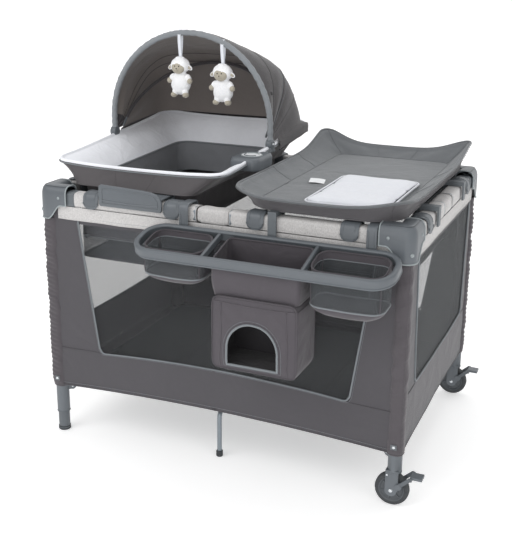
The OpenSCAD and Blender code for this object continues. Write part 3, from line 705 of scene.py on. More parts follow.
def rail_cover(c, ax):
    """heather cloth wrapped and padded round one half of a top rail"""
    sx, sy = CORNERS[c]
    L = (PX if ax == "x" else PY) - 46.0
    a = np.concatenate([np.linspace(62, 66, 3), np.linspace(70, L - 4, 46), np.linspace(L - 2, L, 3)])
    nv = 44
    t = np.linspace(0, 2 * np.pi, nv, endpoint=False)
    A, T = np.meshgrid(a, t, indexing="ij")
    ex = 2 / 4.2
    sd = (sx + 2 * sy + (3 if ax == "x" else 9))
    puff = 20.6 + 0.55 * vnoise(np.stack([A, T * 12, T * 0], -1), 42, sd) + 0.3 * vnoise(np.stack([A, T * 12, T * 0], -1), 15, sd + 2)
    endin = 1.1 * (1 - smooth(62, 70, A)) + 1.1 * smooth(L - 8, L, A)
    r = puff - endin
    q = np.sign(np.cos(T)) * np.abs(np.cos(T)) ** ex * r
    z = RZ + np.sign(np.sin(T)) * np.abs(np.sin(T)) ** ex * np.minimum(r, 20.4)
    if ax == "x":
        V = np.stack([A, q, z], -1)
    else:
        V = np.stack([q, A, z], -1)
    V = cmap(V, sx, sy)
    b = MB()
    b.grid(V, M_HEATHER, cv=True)
    for k in (0, -1):
        cen = V[k].mean(0)
        b.fan(V[k], cen, M_HEATHER, flip=k == 0)
        b.tube(V[k], 1.1, M_HEATHER, seg=6, closed=True)
    # the closing seam runs along under the inner edge, with stitches
    ks = int(nv * 0.60)
    b.tube(V[2:-2, ks], 0.9, M_HEATHER, seg=6)
    # slate boot over the rail end, beside the corner bracket
    for a0, a1, hw in ((58.5, 84.0, 21.7),):
        ring = []
        for aa, rr_ in ((a0, hw - 1.6), (a0 + 1, hw), (a1 - 1, hw), (a1, hw - 1.6)):
            qq = np.sign(np.cos(t)) * np.abs(np.cos(t)) ** (2 / 5) * rr_
            zz = RZ + np.sign(np.sin(t)) * np.abs(np.sin(t)) ** (2 / 5) * min(rr_, 20.8)
            ring.append(np.stack([np.full(nv, aa), qq, zz], -1) if ax == "x" else np.stack([qq, np.full(nv, aa), zz], -1))
        ring = cmap(np.stack(ring), sx, sy)
        b.grid(ring, M_SLATE2, cv=True)
        for k in (0, -1):
            b.fan(ring[k], ring[k].mean(0), M_SLATE2)
    nm = (LX if ax == "x" else LY)[c]
    o = b.obj("rail_cover_" + nm, "rail_" + nm, sharp=55)


def latch_cover(side):
    """the squeeze latch in the middle of a top rail, under its heather cover"""
    ax = "x" if side in ("front", "back") else "y"
    s = -1 if side in ("front", "left") else 1
    a = np.linspace(-41.5, 41.5, 34)
    t = np.linspace(0, 2 * np.pi, 44, endpoint=False)
    A, T = np.meshgrid(a, t, indexing="ij")
    edge = smooth(-41.5, -30, A) * (1 - smooth(30, 41.5, A))
    r = 18.0 + 3.4 * edge + 0.6 * vnoise(np.stack([A, T * 12, T * 0], -1), 16, 5 + s)
    # the button shows as a soft lump on the underside and a dent on top
    r = r + 0.9 * np.exp(-(A / 13) ** 2) * np.clip(-np.sin(T), 0, 1)
    q = np.sign(np.cos(T)) * np.abs(np.cos(T)) ** (2 / 4) * r
    z = RZ + np.sign(np.sin(T)) * np.abs(np.sin(T)) ** (2 / 4) * np.minimum(r, 20.6) - 1.2 * np.exp(-(A / 15) ** 2) * np.clip(np.sin(T), 0, 1)
    V = np.stack([A, q + s * PY, z], -1) if ax == "x" else np.stack([q + s * PX, A, z], -1)
    b = MB()
    b.grid(V, M_HEATHER, cv=True)
    for k in (0, -1):
        b.fan(V[k], V[k].mean(0), M_HEATHER)
        b.tube(V[k], 1.0, M_HEATHER, seg=6, closed=True)
    for aa in (-24, 24):
        i = int(np.argmin(abs(a - aa)))
        b.tube(V[i], 0.6, M_HEATHER, seg=6, closed=True)
    o = b.obj("latch_cover_" + side, "latch_" + side, sharp=60)
    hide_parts("latch_" + side)


for c in CORNERS:
    bracket(c)
    sleeve(c)
    for ax in "xy":
        rail_cover(c, ax)
for s_ in ("front", "back", "left", "right"):
    latch_cover(s_)

# -------------------------------------------------------------------- walls
WIN_T = 640.0       # top of the net windows
FLAP_LO = 643.0     # bottom of the heather flap


def win_edge(z, ax, right):
    """distance of a net window's side edge from the panel's middle"""
    if ax == "x":
        return (370 + (z - 251) * 0.145) if right else (348 + (z - 274) * 0.146)
    return 268 + (z - 262) * 0.075


def win_bottom(u, ax, front):
    if ax == "x":
        return (282 if front else 264) - (u / 370.0) ** 2 * (18 if front else 8)
    return 296 + 6 * (u / 280.0) ** 2


def wall_bottom(u, ax, front):
    if ax == "x":
        return 150 + (14 if front else 6) * (1 - (u / 440.0) ** 2)
    return 148 + 10 * (1 - (u / 300.0) ** 2)


def half_wall(c, ax):
    """half of one side: the cloth border round a net window, from its post to the side's middle"""
    sx, sy = CORNERS[c]
    L = PX if ax == "x" else PY
    front = (sy < 0) if ax == "x" else True
    right = sx > 0
    sd = 11 + sx + 3 * sy + (20 if ax == "x" else 40)
    off = 17.0       # outward from the post line
    edge0 = L - 9.0

    def out(u, z, d):
        """u from the middle, d outward from the post line, with slow cloth movement"""
        P = np.stack([u, z, u * 0], -1)
        w = 1.1 * vnoise(P, 150, sd) + 0.45 * vnoise(P, 45, sd + 5)
        w = w * smooth(-1, 25, edge0 - u) * smooth(0, 25, u) * 0.9
        pull = 0.5 * np.sin((u + z) / 13.0) * np.exp(-(edge0 - u) / 34.0)
        D = d + w + pull
        if ax == "x":
            return np.stack([sx * u, sy * (PY + D), z], -1)
        return np.stack([sx * (PX + D), sy * u, z], -1)

    b = MB()
    nz = 60
    zw = np.linspace(0, 1, nz)
    # side strip, from the window edge to the sleeve
    zb = wall_bottom(np.full(nz, edge0), ax, front)
    zz = zb + (WIN_T - zb) * zw
    we = win_edge(np.maximum(zz, 240), ax, right)
    cols = []
    for t in np.linspace(0, 1, 12):
        u = we + (edge0 - we) * t
        zc = wall_bottom(u, ax, front) + (WIN_T - wall_bottom(u, ax, front)) * zw
        cols.append(out(u, zc, off - 1.0 * t + 0 * u))
    b.grid(np.stack(cols), M_WALL)
    # strip under the window, from the middle to the window's side edge
    ub = np.linspace(0, 1, 36)
    rows = []
    for t in np.linspace(0, 1, 12):
        # at each height the strip ends on the side strip's inner edge
        zlo_e = wall_bottom(win_edge(240, ax, right), ax, front)
        u_end = None
        zt = []
        u_line = []
        for k in ub:
            ue = win_edge(250, ax, right)
            u = k * ue
            z0, z1 = wall_bottom(u, ax, front), win_bottom(u, ax, front)
            z = z0 + (z1 - z0) * t
            ue2 = win_edge(max(z, 240), ax, right)
            u_line.append(k * ue2)
            zt.append(z)
        rows.append(out(np.array(u_line), np.array(zt), off + 0 * np.array(zt)))
    b.grid(np.stack(rows), M_WALL)
    # strip over the window, behind the heather flap
    u = np.linspace(0, edge0, 40)
    b.grid(np.stack([out(u, np.full(40, z), off - 0.5 + 0 * u) for z in (WIN_T - 8, WIN_T, 652, 664, 676)]), M_WALL)
    # heather flap that hangs from the rail cover
    uf = np.linspace(0, L - 30, 60)
    fl = []
    for t, d in ((0, 19.2), (0.25, 19.6), (0.5, 19.7), (0.8, 19.6), (1.0, 19.2), (1.05, 18.2)):
        z = 678 - (678 - FLAP_LO) * min(t, 1.0) + 1.6 * vnoise(np.stack([uf, uf * 0, uf * 0], -1), 70, sd + 9) * t + (0.8 if t > 1 else 0)
        fl.append(out(uf, z, d + 0.5 * vnoise(np.stack([uf, uf * 0 + t * 30, uf * 0], -1), 28, sd + 2)))
    b.grid(np.stack(fl), M_HEATHER)
    b.tube(fl[4], 1.2, M_HEATHER, seg=6)
    b.tube(fl[4] + np.array([0, 0, 7.0]), 0.5, M_PIPE, seg=5)
    # piping round the window: down the side, round a small corner, along the bottom
    zs = np.linspace(WIN_T, win_bottom(win_edge(260, ax, right) - 12, ax, front) + 14, 40)
    side = [(win_edge(z, ax, right), z) for z in zs]
    ue = win_edge(264, ax, right)
    zc = win_bottom(ue - 14, ax, front)
    corner = [(ue - 1.0, zc + 9), (ue - 4, zc + 4), (ue - 9, zc + 1)]
    bot = [(uu, float(win_bottom(uu, ax, front))) for uu in np.linspace(ue - 16, 0, 50)]
    pl = np.array(side + corner + bot)
    pipe = out(pl[:, 0], pl[:, 1], off + 1.2 + 0 * pl[:, 0])
    b.tube(pipe, 2.4, M_PIPE, seg=8)
    # the seam from the window's corner to the post
    us = np.linspace(ue, edge0, 14)
    sm = out(us, zc + (0 if not right else -3) - 4 * (us - ue) / (edge0 - ue), off + 0.3 + 0 * us)
    b.tube(sm, 1.1, M_WALL, seg=6)
    # stitch rows beside the piping and the bottom hem
    b.tube(out(pl[:, 0] + 4.5, pl[:, 1] - 5.0, off + 0.3 + 0 * pl[:, 0]), 0.45, M_PIPE, seg=5)
    uh = np.linspace(0, edge0, 60)
    zb2 = wall_bottom(uh, ax, front)
    b.tube(out(uh, zb2 + 1.0, off - 0.2 + 0 * uh), 1.5, M_WALL, seg=7)
    b.tube(out(uh, zb2 + 9.0, off + 0.2 + 0 * uh), 0.45, M_PIPE, seg=5)
    # the bottom turns in under the mat
    ins = []
    for t in np.linspace(0, 1, 6):
        p = out(uh, zb2 * (1 - t) + 147.5 * t, off - 50 * t + 0 * uh)
        ins.append(p)
    b.grid(np.stack(ins), M_WALL)
    side_n = (LX if ax == "x" else LY)[c]
    o = b.obj("wall_" + side_n, LEGB[c], sharp=50)
    tri_fold(o, ax)
    # the net
    n = MB()
    nu, nzz = 34, 44
    rows = []
    for t in np.linspace(0, 1, nzz):
        line = []
        for k in np.linspace(0, 1, nu):
            zb3 = float(win_bottom(k * ue, ax, front)) - 5
            z = zb3 + (WIN_T + 4 - zb3) * t
            u = k * (win_edge(max(z, 262), ax, right) + 4)
            line.append((u, z))
        line = np.array(line)
        rows.append(out(line[:, 0], line[:, 1], off - 2.2 + 0 * line[:, 0]))
    n.grid(np.stack(rows), M_NET if ax == "x" else M_NETS)
    m = n.obj("net_" + side_n, LEGB[c], sharp=0)
    tri_fold(m, ax)
    return o


WALLS = {}
for c in CORNERS:
    wx = half_wall(c, "x")
    wy = half_wall(c, "y")
    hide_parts("wall_" + c)
    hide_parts("wall_" + c)

# ------------------------------------------------------------------ the mat
def mat_piece():
    x0, y0, z0 = -462.0, -322.0, 150.5
    x1, y1, z1 = 462.0, 322.0, 167.0
    b = MB()
    nx, ny = 90, 64
    xs, ys = np.linspace(0, 1, nx), np.linspace(0, 1, ny)
    # a rounded plan for each row, with channels at the three folds
    out_ = rr(x0, x1, y0, y1, 28, ns=26, nc=8)
    cen = np.array([0.0, 0.0])
    rings = []
    folds = (-231.0, 0.0, 231.0)

    def crown(P2, k):
        """height over the mat's mid plane: full in the middle, rolled at the edges, pulled down on the folds"""
        ex = np.minimum(P2[:, 0] - x0, x1 - P2[:, 0])
        ey = np.minimum(P2[:, 1] - y0, y1 - P2[:, 1])
        e = np.minimum(ex, ey)
        h = 8.2 * np.sqrt(np.clip(1 - (1 - np.clip(e / 20, 0, 1)) ** 2, 0, 1))
        for f_ in folds:
            h = h - 5.2 * np.exp(-((P2[:, 0] - f_) / 5.0) ** 2)
        P3 = np.column_stack([P2, P2[:, :1] * 0])
        return h + 0.8 * vnoise(P3, 90, 3) * np.clip(e / 30, 0, 1) + 0.3 * vnoise(P3, 26, 8)

    for t in np.concatenate([np.array([1.0, 0.997, 0.99, 0.98, 0.965]), np.linspace(0.94, 0.02, 44)]):
        P2 = cen + (out_ - cen) * t
        rings.append(P2)
    top = np.stack([np.column_stack([p, 158.6 + np.maximum(crown(p, 1), 0.05)]) for p in rings])
    bot = np.stack([np.column_stack([p, 158.4 - np.minimum(np.maximum(crown(p, 1), 0.05), 7.4)]) for p in rings[:6]])
    b.grid(top, M_MAT, cv=True)
    b.fan(top[-1], (0, 0, float(top[-1][:, 2].mean())), M_MAT)
    b.grid(bot, M_MAT, cv=True)
    b.fan(bot[-1], (0, 0, 151.0), M_MAT)
    b.tube(np.column_stack([out_, np.full(len(out_), 158.5)]), 3.6, M_MATEDGE, seg=8, closed=True)
    for f_ in folds:
        yy = np.linspace(y0 + 6, y1 - 6, 40)
        for d in (-4.5, 4.5):
            b.tube(np.column_stack([np.full(40, f_ + d), yy, np.full(40, 164.9)]), 0.5, M_MATEDGE, seg=5)
    o = b.obj("mat_pad", "mattress", sharp=0)
    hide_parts("mattress")
    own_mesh(o)


mat_piece()

# --------------------------------------------------- wheels and foot details
for nm, sy in (("front", -1), ("back", 1)):
    wx, wy, wz = 489.0, sy * 352.0, 44.0
    b = MB()
    M = Matrix.Translation(Vector((wx, wy, wz))) @ Matrix.Rotation(math.radians(90), 4, "X")
    prof = [(3.4, -11), (13.5, -11), (14.5, -10.4), (15.5, -8.2), (27.5, -8.0), (29.5, -9.4), (31, -10.4), (33, -10.9), (40.5, -10.4), (42.8, -8.6), (43.9, -5.2), (44, -1.6),
            (43.4, -0.8), (43.4, 0.8), (44, 1.6), (43.9, 5.2), (42.8, 8.6), (40.5, 10.4), (33, 10.9), (31, 10.4), (29.5, 9.4), (27.5, 8.0), (15.5, 8.2), (14.5, 10.4), (13.5, 11), (3.4, 11)]
    b.lathe(prof[:8], M_HUBP, M=M, seg=72)
    b.lathe(prof[7:19], M_RUBBER, M=M, seg=72)
    b.lathe(prof[18:], M_HUBP, M=M, seg=72)
    b.lathe([(3.4, 11), (3.4, -11)], M_HUBP, M=M, seg=72)
    for s in (-1, 1):
        for k in range(6):
            a = k * math.pi / 3 + 0.3
            d = np.array([math.cos(a), 0, math.sin(a)])
            p0 = np.array([wx, wy + s * 8.6, wz]) + d * 14.5
            p1 = np.array([wx, wy + s * 8.6, wz]) + d * 28.5
            b.tube(np.linspace(p0, p1, 6), 1.7, M_HUBP, seg=8, flat=1.0)
    o = b.obj("wheel_turned_" + nm, "wheel_" + nm, sharp=30)
    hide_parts("wheel_" + nm)

for c, (sx, sy) in CORNERS.items():
    b = MB()
    # the washer and screw that hold the sleeve, the square tag on the outer side
    b.prism([(-8, -7), (8, -7), (8, 7), (-8, 7)], 0, 1.6, M_SLATE2, r=0.5,
            M=Matrix.Translation(Vector((sx * PX, sy * (PY + 22.6), 168))) @ Matrix.Rotation(math.radians(90 * (-sy) if sy < 0 else -90), 4, "X"))
    b.screw((sx * PX, sy * (PY + 24.0), 168), (0, sy, 0), 4.4, M_BRIGHT)
    # rivets of the foot's two plates, where the floor tube swings
    hc_ = 20.0
    ang = math.atan2(-sy * (PY - 60), -sx * (PX - 60))
    base = np.array([sx * (PX - hc_), sy * (PY - hc_), 134.0])
    side = np.array([-math.sin(ang), math.cos(ang), 0])
    for s in (-1, 1):
        b.screw(base + side * s * 10.4, side * s, 4.6, M_BRIGHT)
    # moulded bands on the foot
    zf = (144.0, 96.0) if sx > 0 else (144.0, 62.0)
    for z in zf:
        t = np.linspace(0, 2 * np.pi, 40, endpoint=False)
        b.tube(np.column_stack([sx * PX + 18.1 * np.cos(t), sy * PY + 18.1 * np.sin(t), np.full(40, z - 3)]), 1.1, M_SLATE, seg=6, closed=True)
    if sx < 0:
        t = np.linspace(0, 2 * np.pi, 40, endpoint=False)
        for z, r in ((3.0, 16.4), (10.0, 16.2)):
            b.tube(np.column_stack([sx * PX + r * np.cos(t), sy * PY + r * np.sin(t), np.full(40, z)]), 1.6, M_RUBBER, seg=8, closed=True)
    else:
        for s in (-1, 1):
            b.screw((489.0, sy * 352 + s * 17.4, 44), (0, s, 0), 5.6, M_BRIGHT)
            b.screw((478.0, sy * 352 + s * 17.4, 86), (0, s, 0), 3.0, M_BRIGHT)
    o = b.obj("foot_fittings_" + c, LEGB[c], sharp=30)

# rubber tips and rivets under the centre
for nm, sy in (("front", -1), ("back", 1)):
    b = MB()
    t = np.linspace(0, 2 * np.pi, 32, endpoint=False)
    xf = 10 * sy
    b.lathe([(0.2, 0.4), (8.2, 0.4), (9.4, 1.6), (9.4, 15.5), (8.8, 17), (6.6, 17.2)], M_RUBBER, M=Matrix.Translation(Vector((xf, sy * 315, 0))), seg=32)
    for s in (-1, 1):
        b.screw((xf + s * 6.9, sy * 44, 134), (s, 0, 0), 4.2, M_BRIGHT)
    b.obj("centre_leg_tip_" + nm, "centre_leg_" + nm, sharp=30)
b = MB()
for c, (sx, sy) in CORNERS.items():
    ang = math.atan2(sy * (PY - 60), sx * (PX - 60))
    side = np.array([-math.sin(ang), math.cos(ang), 0])
    for s in (-1, 1):
        b.screw(np.array([sx * 40.0, sy * 40.0, 134.0]) + side * s * 10.8, side * s, 4.6, M_BRIGHT)
b.lathe([(0.1, 145.8), (10, 145.8), (11, 145.2), (30, 145.2), (31.5, 144.6), (36.5, 143.2), (37.9, 141.5)], M_SLATE2, seg=48)
b.obj("hub_cap", "hub", sharp=35)

# -------------------------------------------------------- bassinet insert
def insert_piece():
    lo = rr(-444, 444, -311, 311, 34, ns=26, nc=8)
    sd = 31
    b, n = MB(), MB()

    def ring(z, k=0.0):
        P3 = np.column_stack([lo, np.full(len(lo), z)])
        d = 2.2 * vnoise(P3, 120, sd) + 1.0 * vnoise(P3, 38, sd + 1)
        drop = 1.0 + 0.0 * z
        # the cloth hangs from its clips: small scallops along the top, none at the floor
        s = 1 - (d * drop) / 444.0
        q = lo * np.array([1, 1]) * s[:, None]
        q = np.clip(q, [-445.5, -312.5], [445.5, 312.5])
        zz = z + (-3.0 * np.abs(np.sin(lo[:, 0] / 75.0)) if z > 684 else 0 * lo[:, 0])
        return np.column_stack([q, zz])

    b.grid(np.stack([ring(z) for z in np.linspace(689, 582, 16)]), M_INSERT, cv=True)
    net = np.stack([ring(z) for z in np.linspace(582, 524, 8)])
    b.tube(ring(689), 2.2, M_PIPE, seg=7, closed=True)
    b.tube(ring(582), 1.4, M_PIPE, seg=7, closed=True)
    b.tube(ring(587), 0.5, M_PIPE, seg=5, closed=True)
    # the floor panel, crowned down a little between its boards
    fl = []
    for t in np.concatenate([[1.0, 0.995, 0.985], np.linspace(0.95, 0.02, 26)]):
        q = lo * t
        e = (1 - t)
        z = 524 - 5.0 * smooth(0, 0.04, e) + 1.2 * vnoise(np.column_stack([q, q[:, 0] * 0]), 120, 5) - 1.0 * (np.exp(-((q[:, 0] - 148) / 6) ** 2) + np.exp(-((q[:, 0] + 148) / 6) ** 2))
        fl.append(np.column_stack([q, z]))
    b.grid(np.stack(fl), M_INSERT, cv=True)
    b.tube(ring(524), 2.4, M_INSERT, seg=7, closed=True)
    b.screw((-415, -313.0, 583), (0, -1, 0), 6.0, M_SLATE2)
    b.screw((415, -313.0, 583), (0, -1, 0), 6.0, M_SLATE2)
    o = b.obj("insert_cloth", "insert", sharp=0)
    n.grid(net, M_INET, cv=True)
    m = n.obj("insert_net", "insert", sharp=0)
    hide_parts("insert_tub")
    for p in (o, m):
        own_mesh(p)


insert_piece()


def clip(b, x, y, ax, s):
    """a moulded saddle over the padded rail with a pointed tab outside"""
    path = [(25.2, 680.5), (25.4, 682), (25.5, 685), (25.6, 690), (25.4, 697), (24.6, 704), (22.6, 713), (18.2, 719.2), (10, 722.0), (0, 722.8), (-10, 722.0), (-18.2, 719.2), (-22.6, 713), (-24.2, 700), (-24.6, 682)]
    path = np.array(path)
    hw = np.array([0.42, 0.62, 0.8, 0.93, 0.99, 1, 1, 1, 1, 1, 1, 1, 1, 1, 0.96]) * 23.0
    T = np.gradient(path, axis=0)
    T /= np.linalg.norm(T, axis=1)[:, None]
    N = np.column_stack([-T[:, 1], T[:, 0]])       # toward the rail
    if (N[7] @ np.array([0, -1.0])) < 0:
        N = -N
    us = np.linspace(-1, 1, 13)
    prof_t = 0.6 + 2.6 * (1 - np.abs(us) ** 6)     # rounded crosswise
    top, bot = [], []
    for i in range(len(path)):
        q = path[i][None, :] - N[i][None, :] * (prof_t[:, None] - 0.6)
        r = path[i][None, :] + N[i][None, :] * (1.0 + 0 * prof_t[:, None])
        w = us * hw[i]
        top.append(np.column_stack([w, q]))
        bot.append(np.column_stack([w, r]))
    P = np.concatenate([np.stack(top), np.stack(bot)[:, ::-1]], 1)

    def put_(V):
        w, o_, z = V[..., 0], V[..., 1], V[..., 2]
        if ax == "x":
            return np.stack([x + w, s * (PY + o_), z], -1)
        return np.stack([s * (PX + o_), y + w, z], -1)

    Q = put_(P)
    b.grid(Q, M_SLATE, cv=True)
    for k in (0, -1):
        b.fan(Q[k], Q[k].mean(0), M_SLATE)
    for f in (-0.62, 0.62):
        w = hw * f
        line = np.column_stack([w, path - N * 2.6])[5:13]
        b.tube(put_(line), 0.9, M_SLATE2, seg=6)
    lip = np.column_stack([us * 22.0, np.full(13, 27.6), 686.5 + 5.5 * us ** 2 + 5 * us ** 6])
    b.tube(put_(lip), 1.5, M_SLATE2, seg=7)


b = MB()
for x in (-355, -114, 118, 360):
    for s in (-1, 1):
        clip(b, x, 0, "x", s)
for y in (-225, 225):
    for s in (-1, 1):
        clip(b, 0, y, "y", s)
o = b.obj("insert_saddles", "insert", sharp=42)
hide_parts("insert_clips")

# ---------------------------------------------------------------- napper
NCX = -263.5


def nrim(P2):
    return 779 + 0.078 * (P2[:, 1] + 300)


def napper_piece():
    rim = rr(-521, -6, -299, 337, 44, ns=26, nc=10)
    b = MB()
    zr = nrim(rim) + 0
    # tips: the rim dips a little mid side and lifts at its corners
    cor = np.exp(-(((np.abs(rim[:, 0] - NCX) - 235) / 60) ** 2)) * np.exp(-((np.minimum(np.abs(rim[:, 1] + 285), np.abs(rim[:, 1] - 322)) / 70) ** 2))
    zr = zr + 4.0 * cor - 3.0 * np.exp(-((rim[:, 0] - NCX) / 150) ** 2) * (np.abs(rim[:, 1] - 19) > 300)
    A = np.column_stack([rim, zr])
    fb = rr(-447, -78, -326, 320, 40, ns=26, nc=10)
    B = np.column_stack([fb, np.full(len(fb), 731.0)])
    C = np.column_stack([rr(-432, -95, -298, 298, 36, ns=26, nc=10), np.full(len(fb), 726.0)])
    D = np.column_stack([rr(-427, -100, -292, 292, 38, ns=26, nc=10), np.full(len(fb), 646.0)])
    E = np.column_stack([rr(-410, -117, -275, 275, 36, ns=26, nc=10), np.full(len(fb), 641.5)])
    cen = np.array([NCX, 10.0])

    def wob(P, a, sc_, sd):
        d = P[:, :2] - cen
        d = d / (np.linalg.norm(d, axis=1)[:, None] + 1e-9)
        w = a * vnoise(P, sc_, sd)
        Q = P.copy()
        Q[:, :2] += d * w[:, None]
        return Q

    rings = []
    for t in np.linspace(0, 1, 16):
        P = lerp(A, B, t)
        # sag under the rim, then taut to the lower edge
        d = P[:, :2] - cen
        d = d / (np.linalg.norm(d, axis=1)[:, None] + 1e-9)
        P[:, :2] -= d * (5.0 * math.sin(math.pi * t))
        P = wob(P, 2.6 * math.sin(math.pi * min(t * 1.1, 1)), 60, 51)
        P = wob(P, 1.1 * math.sin(math.pi * t), 22, 55)
        rings.append(P)
    b.grid(np.stack(rings), M_SHELL, cv=True)
    b.grid(np.stack([B, lerp(B, C, 0.5), C]), M_SHELL, cv=True)
    b.grid(np.stack([wob(lerp(C, D, t), 2.0 * math.sin(math.pi * t), 70, 57) for t in np.linspace(0, 1, 12)]), M_SHELL, cv=True)
    b.grid(np.stack([D, lerp(D, E, 0.5), E]), M_SHELL, cv=True)
    fl = [E[:, :3] * np.array([1, 1, 1.0])]
    for t in np.linspace(0.92, 0.02, 14):
        q = cen + (E[:, :2] - cen) * t
        fl.append(np.column_stack([q, np.full(len(q), 641.0)]))
    b.grid(np.stack(fl), M_SHELL, cv=True)
    b.tube(B, 2.0, M_SHELL, seg=7, closed=True)
    b.tube(D, 1.8, M_SHELL, seg=7, closed=True)
    # corner seams of the shell
    n = len(rim)
    for k in range(4):
        i = k * 36 + 26 + 5
        b.tube(np.stack([r[i % n] for r in rings]) + 0.0, 1.1, M_SHELL, seg=6)
    # a front seam and its twin behind
    for i in (9, 17, 72 + 9, 72 + 17):
        b.tube(np.stack([r[i % n] for r in rings[2:]]), 0.7, M_SHELL, seg=6)
    o = b.obj("napper_shell", "napper", sharp=0)
    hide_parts("napper_tub")

    # white puffed lining from the rim down to the dark basket
    L = MB()
    welt = rr(-428, -99, -283, 272, 46, ns=26, nc=10)
    W = np.column_stack([welt, np.full(len(welt), 733.0) + 0.03 * (welt[:, 1] + 283)])
    A2 = A.copy()
    A2[:, 2] += 1.0
    top = []
    for ang in np.linspace(-50, 180, 9):        # the roll over the rim
        q = math.radians(ang)
        d = A2[:, :2] - cen
        d = d / (np.linalg.norm(d, axis=1)[:, None])
        P = A2.copy()
        P[:, :2] += d * (5.2 * math.cos(q) - 5.2)
        P[:, 2] += 5.2 * math.sin(q) + 1.0
        top.append(P)
    last = top[-1]
    rows = list(top)
    K = 20
    tt = np.arange(n) / n
    for j in range(1, K + 1):
        t = j / K
        P = lerp(last, W, t)
        d = P[:, :2] - cen
        d = d / (np.linalg.norm(d, axis=1)[:, None])
        # crowned: fuller than the straight line, pulled in where it is stitched
        puff = 9.0 * math.sin(math.pi * t) ** 0.8
        crease = 2.6 * np.sin(tt * 2 * np.pi * 17 + 4 * vnoise(P, 80, 3)) * np.sin(np.pi * t) * (0.4 + 0.6 * vnoise(P, 120, 66) ** 2)
        P[:, :2] -= d * (puff * 0.45 - crease * 0.5)[:, None]
        P[:, 2] += puff * 0.85 + crease + 3.0 * vnoise(P, 46, 61) * math.sin(math.pi * t)
        rows.append(P)
    L.grid(np.stack(rows), M_LINING, cv=True)
    for k in range(4):                            # mitred corner seams
        i = (k * 36 + 26 + 5) % n
        L.tube(np.stack([r[i] for r in rows[7:]]) - np.array([0, 0, 0.6]), 0.9, M_LINING, seg=6)
    l = L.obj("napper_lining", "napper", sharp=0)

    # dark basket inside, its welt, and the piping under the white roll
    I = MB()
    foot = rr(-412, -115, -270, 262, 44, ns=26, nc=10)
    F = np.column_stack([foot, np.full(len(foot), 664.0)])
    I.grid(np.stack([wob(wob(lerp(W, F, t), 4.5 * math.sin(math.pi * t), 55, 71), 2.4 * math.sin(math.pi * t), 20, 72) for t in np.linspace(0, 1, 14)]), M_INNER, cv=True)
    I.tube(W + np.array([0, 0, 0.8]), 3.0, M_PIPE, seg=8, closed=True)
    i_ = I.obj("napper_inner", "napper", sharp=0)
    Pp = MB()
    d = A[:, :2] - cen
    d = d / np.linalg.norm(d, axis=1)[:, None]
    Pb = A.copy()
    Pb[:, :2] += d * 0.4
    Pb[:, 2] -= 3.4
    Pp.tube(Pb, 2.0, M_PIPE, seg=7, closed=True)
    pb = Pp.obj("napper_piping", "napper", sharp=0)


napper_piece()


def padded_slab(name, body, x0, x1, y0, y1, z0, z1, r, mat, edge, channels=(), crown=3.0, n=(26, 10), bind=2.0, seed=1):
    """a crowned, closed pad with a bound edge and sewn channels; sides pull in between the corners"""
    lo = rr(x0, x1, y0, y1, r, ns=n[0], nc=n[1])
    cx, cy = (x0 + x1) / 2, (y0 + y1) / 2
    # sides pull in
    fx = np.abs(lo[:, 0] - cx) / (x1 - cx)
    fy = np.abs(lo[:, 1] - cy) / (y1 - cy)
    lo[:, 0] = cx + (lo[:, 0] - cx) * (1 - 0.012 * (1 - fy ** 2))
    lo[:, 1] = cy + (lo[:, 1] - cy) * (1 - 0.010 * (1 - fx ** 2))
    zm = (z0 + z1) / 2
    h = (z1 - z0) / 2
    b = MB()
    cen = np.array([cx, cy])
    top, bot = [], []
    for t in np.concatenate([[1.0, 0.995, 0.985, 0.97, 0.95], np.linspace(0.92, 0.03, 30)]):
        q = cen + (lo - cen) * t
        ex = np.minimum(q[:, 0] - x0, x1 - q[:, 0])
        ey = np.minimum(q[:, 1] - y0, y1 - q[:, 1])
        e = np.clip(np.minimum(ex, ey), 0, None)
        k = np.sqrt(np.clip(1 - (1 - np.clip(e / 22, 0, 1)) ** 2, 0, 1))
        hh = (h - 0.6) * k
        P3 = np.column_stack([q, q[:, 0] * 0])
        c = 0
        for ax_, v in channels:
            c = c + 0.55 * h * np.exp(-((q[:, 0 if ax_ == "x" else 1] - v) / 5.5) ** 2)
        top.append(np.column_stack([q, zm + np.maximum(hh - c, 0.1) + (0.7 * vnoise(P3, 60, seed) + 0.5 * vnoise(P3, 22, seed + 1)) * k]))
        bot.append(np.column_stack([q, zm - np.minimum(hh, h - 0.8)]))
    b.grid(np.stack(top), mat, cv=True)
    b.fan(top[-1], (cx, cy, float(top[-1][:, 2].mean())), mat)
    b.grid(np.stack(bot), mat, cv=True)
    b.fan(bot[-1], (cx, cy, float(bot[-1][:, 2].mean())), mat)
    o = b.obj(name, body, sharp=0)
    e = MB()
    e.tube(np.column_stack([lo, np.full(len(lo), zm)]), bind, edge, seg=8, closed=True)
    eo = e.obj(name + "_binding", body, sharp=0)
    return o, eo


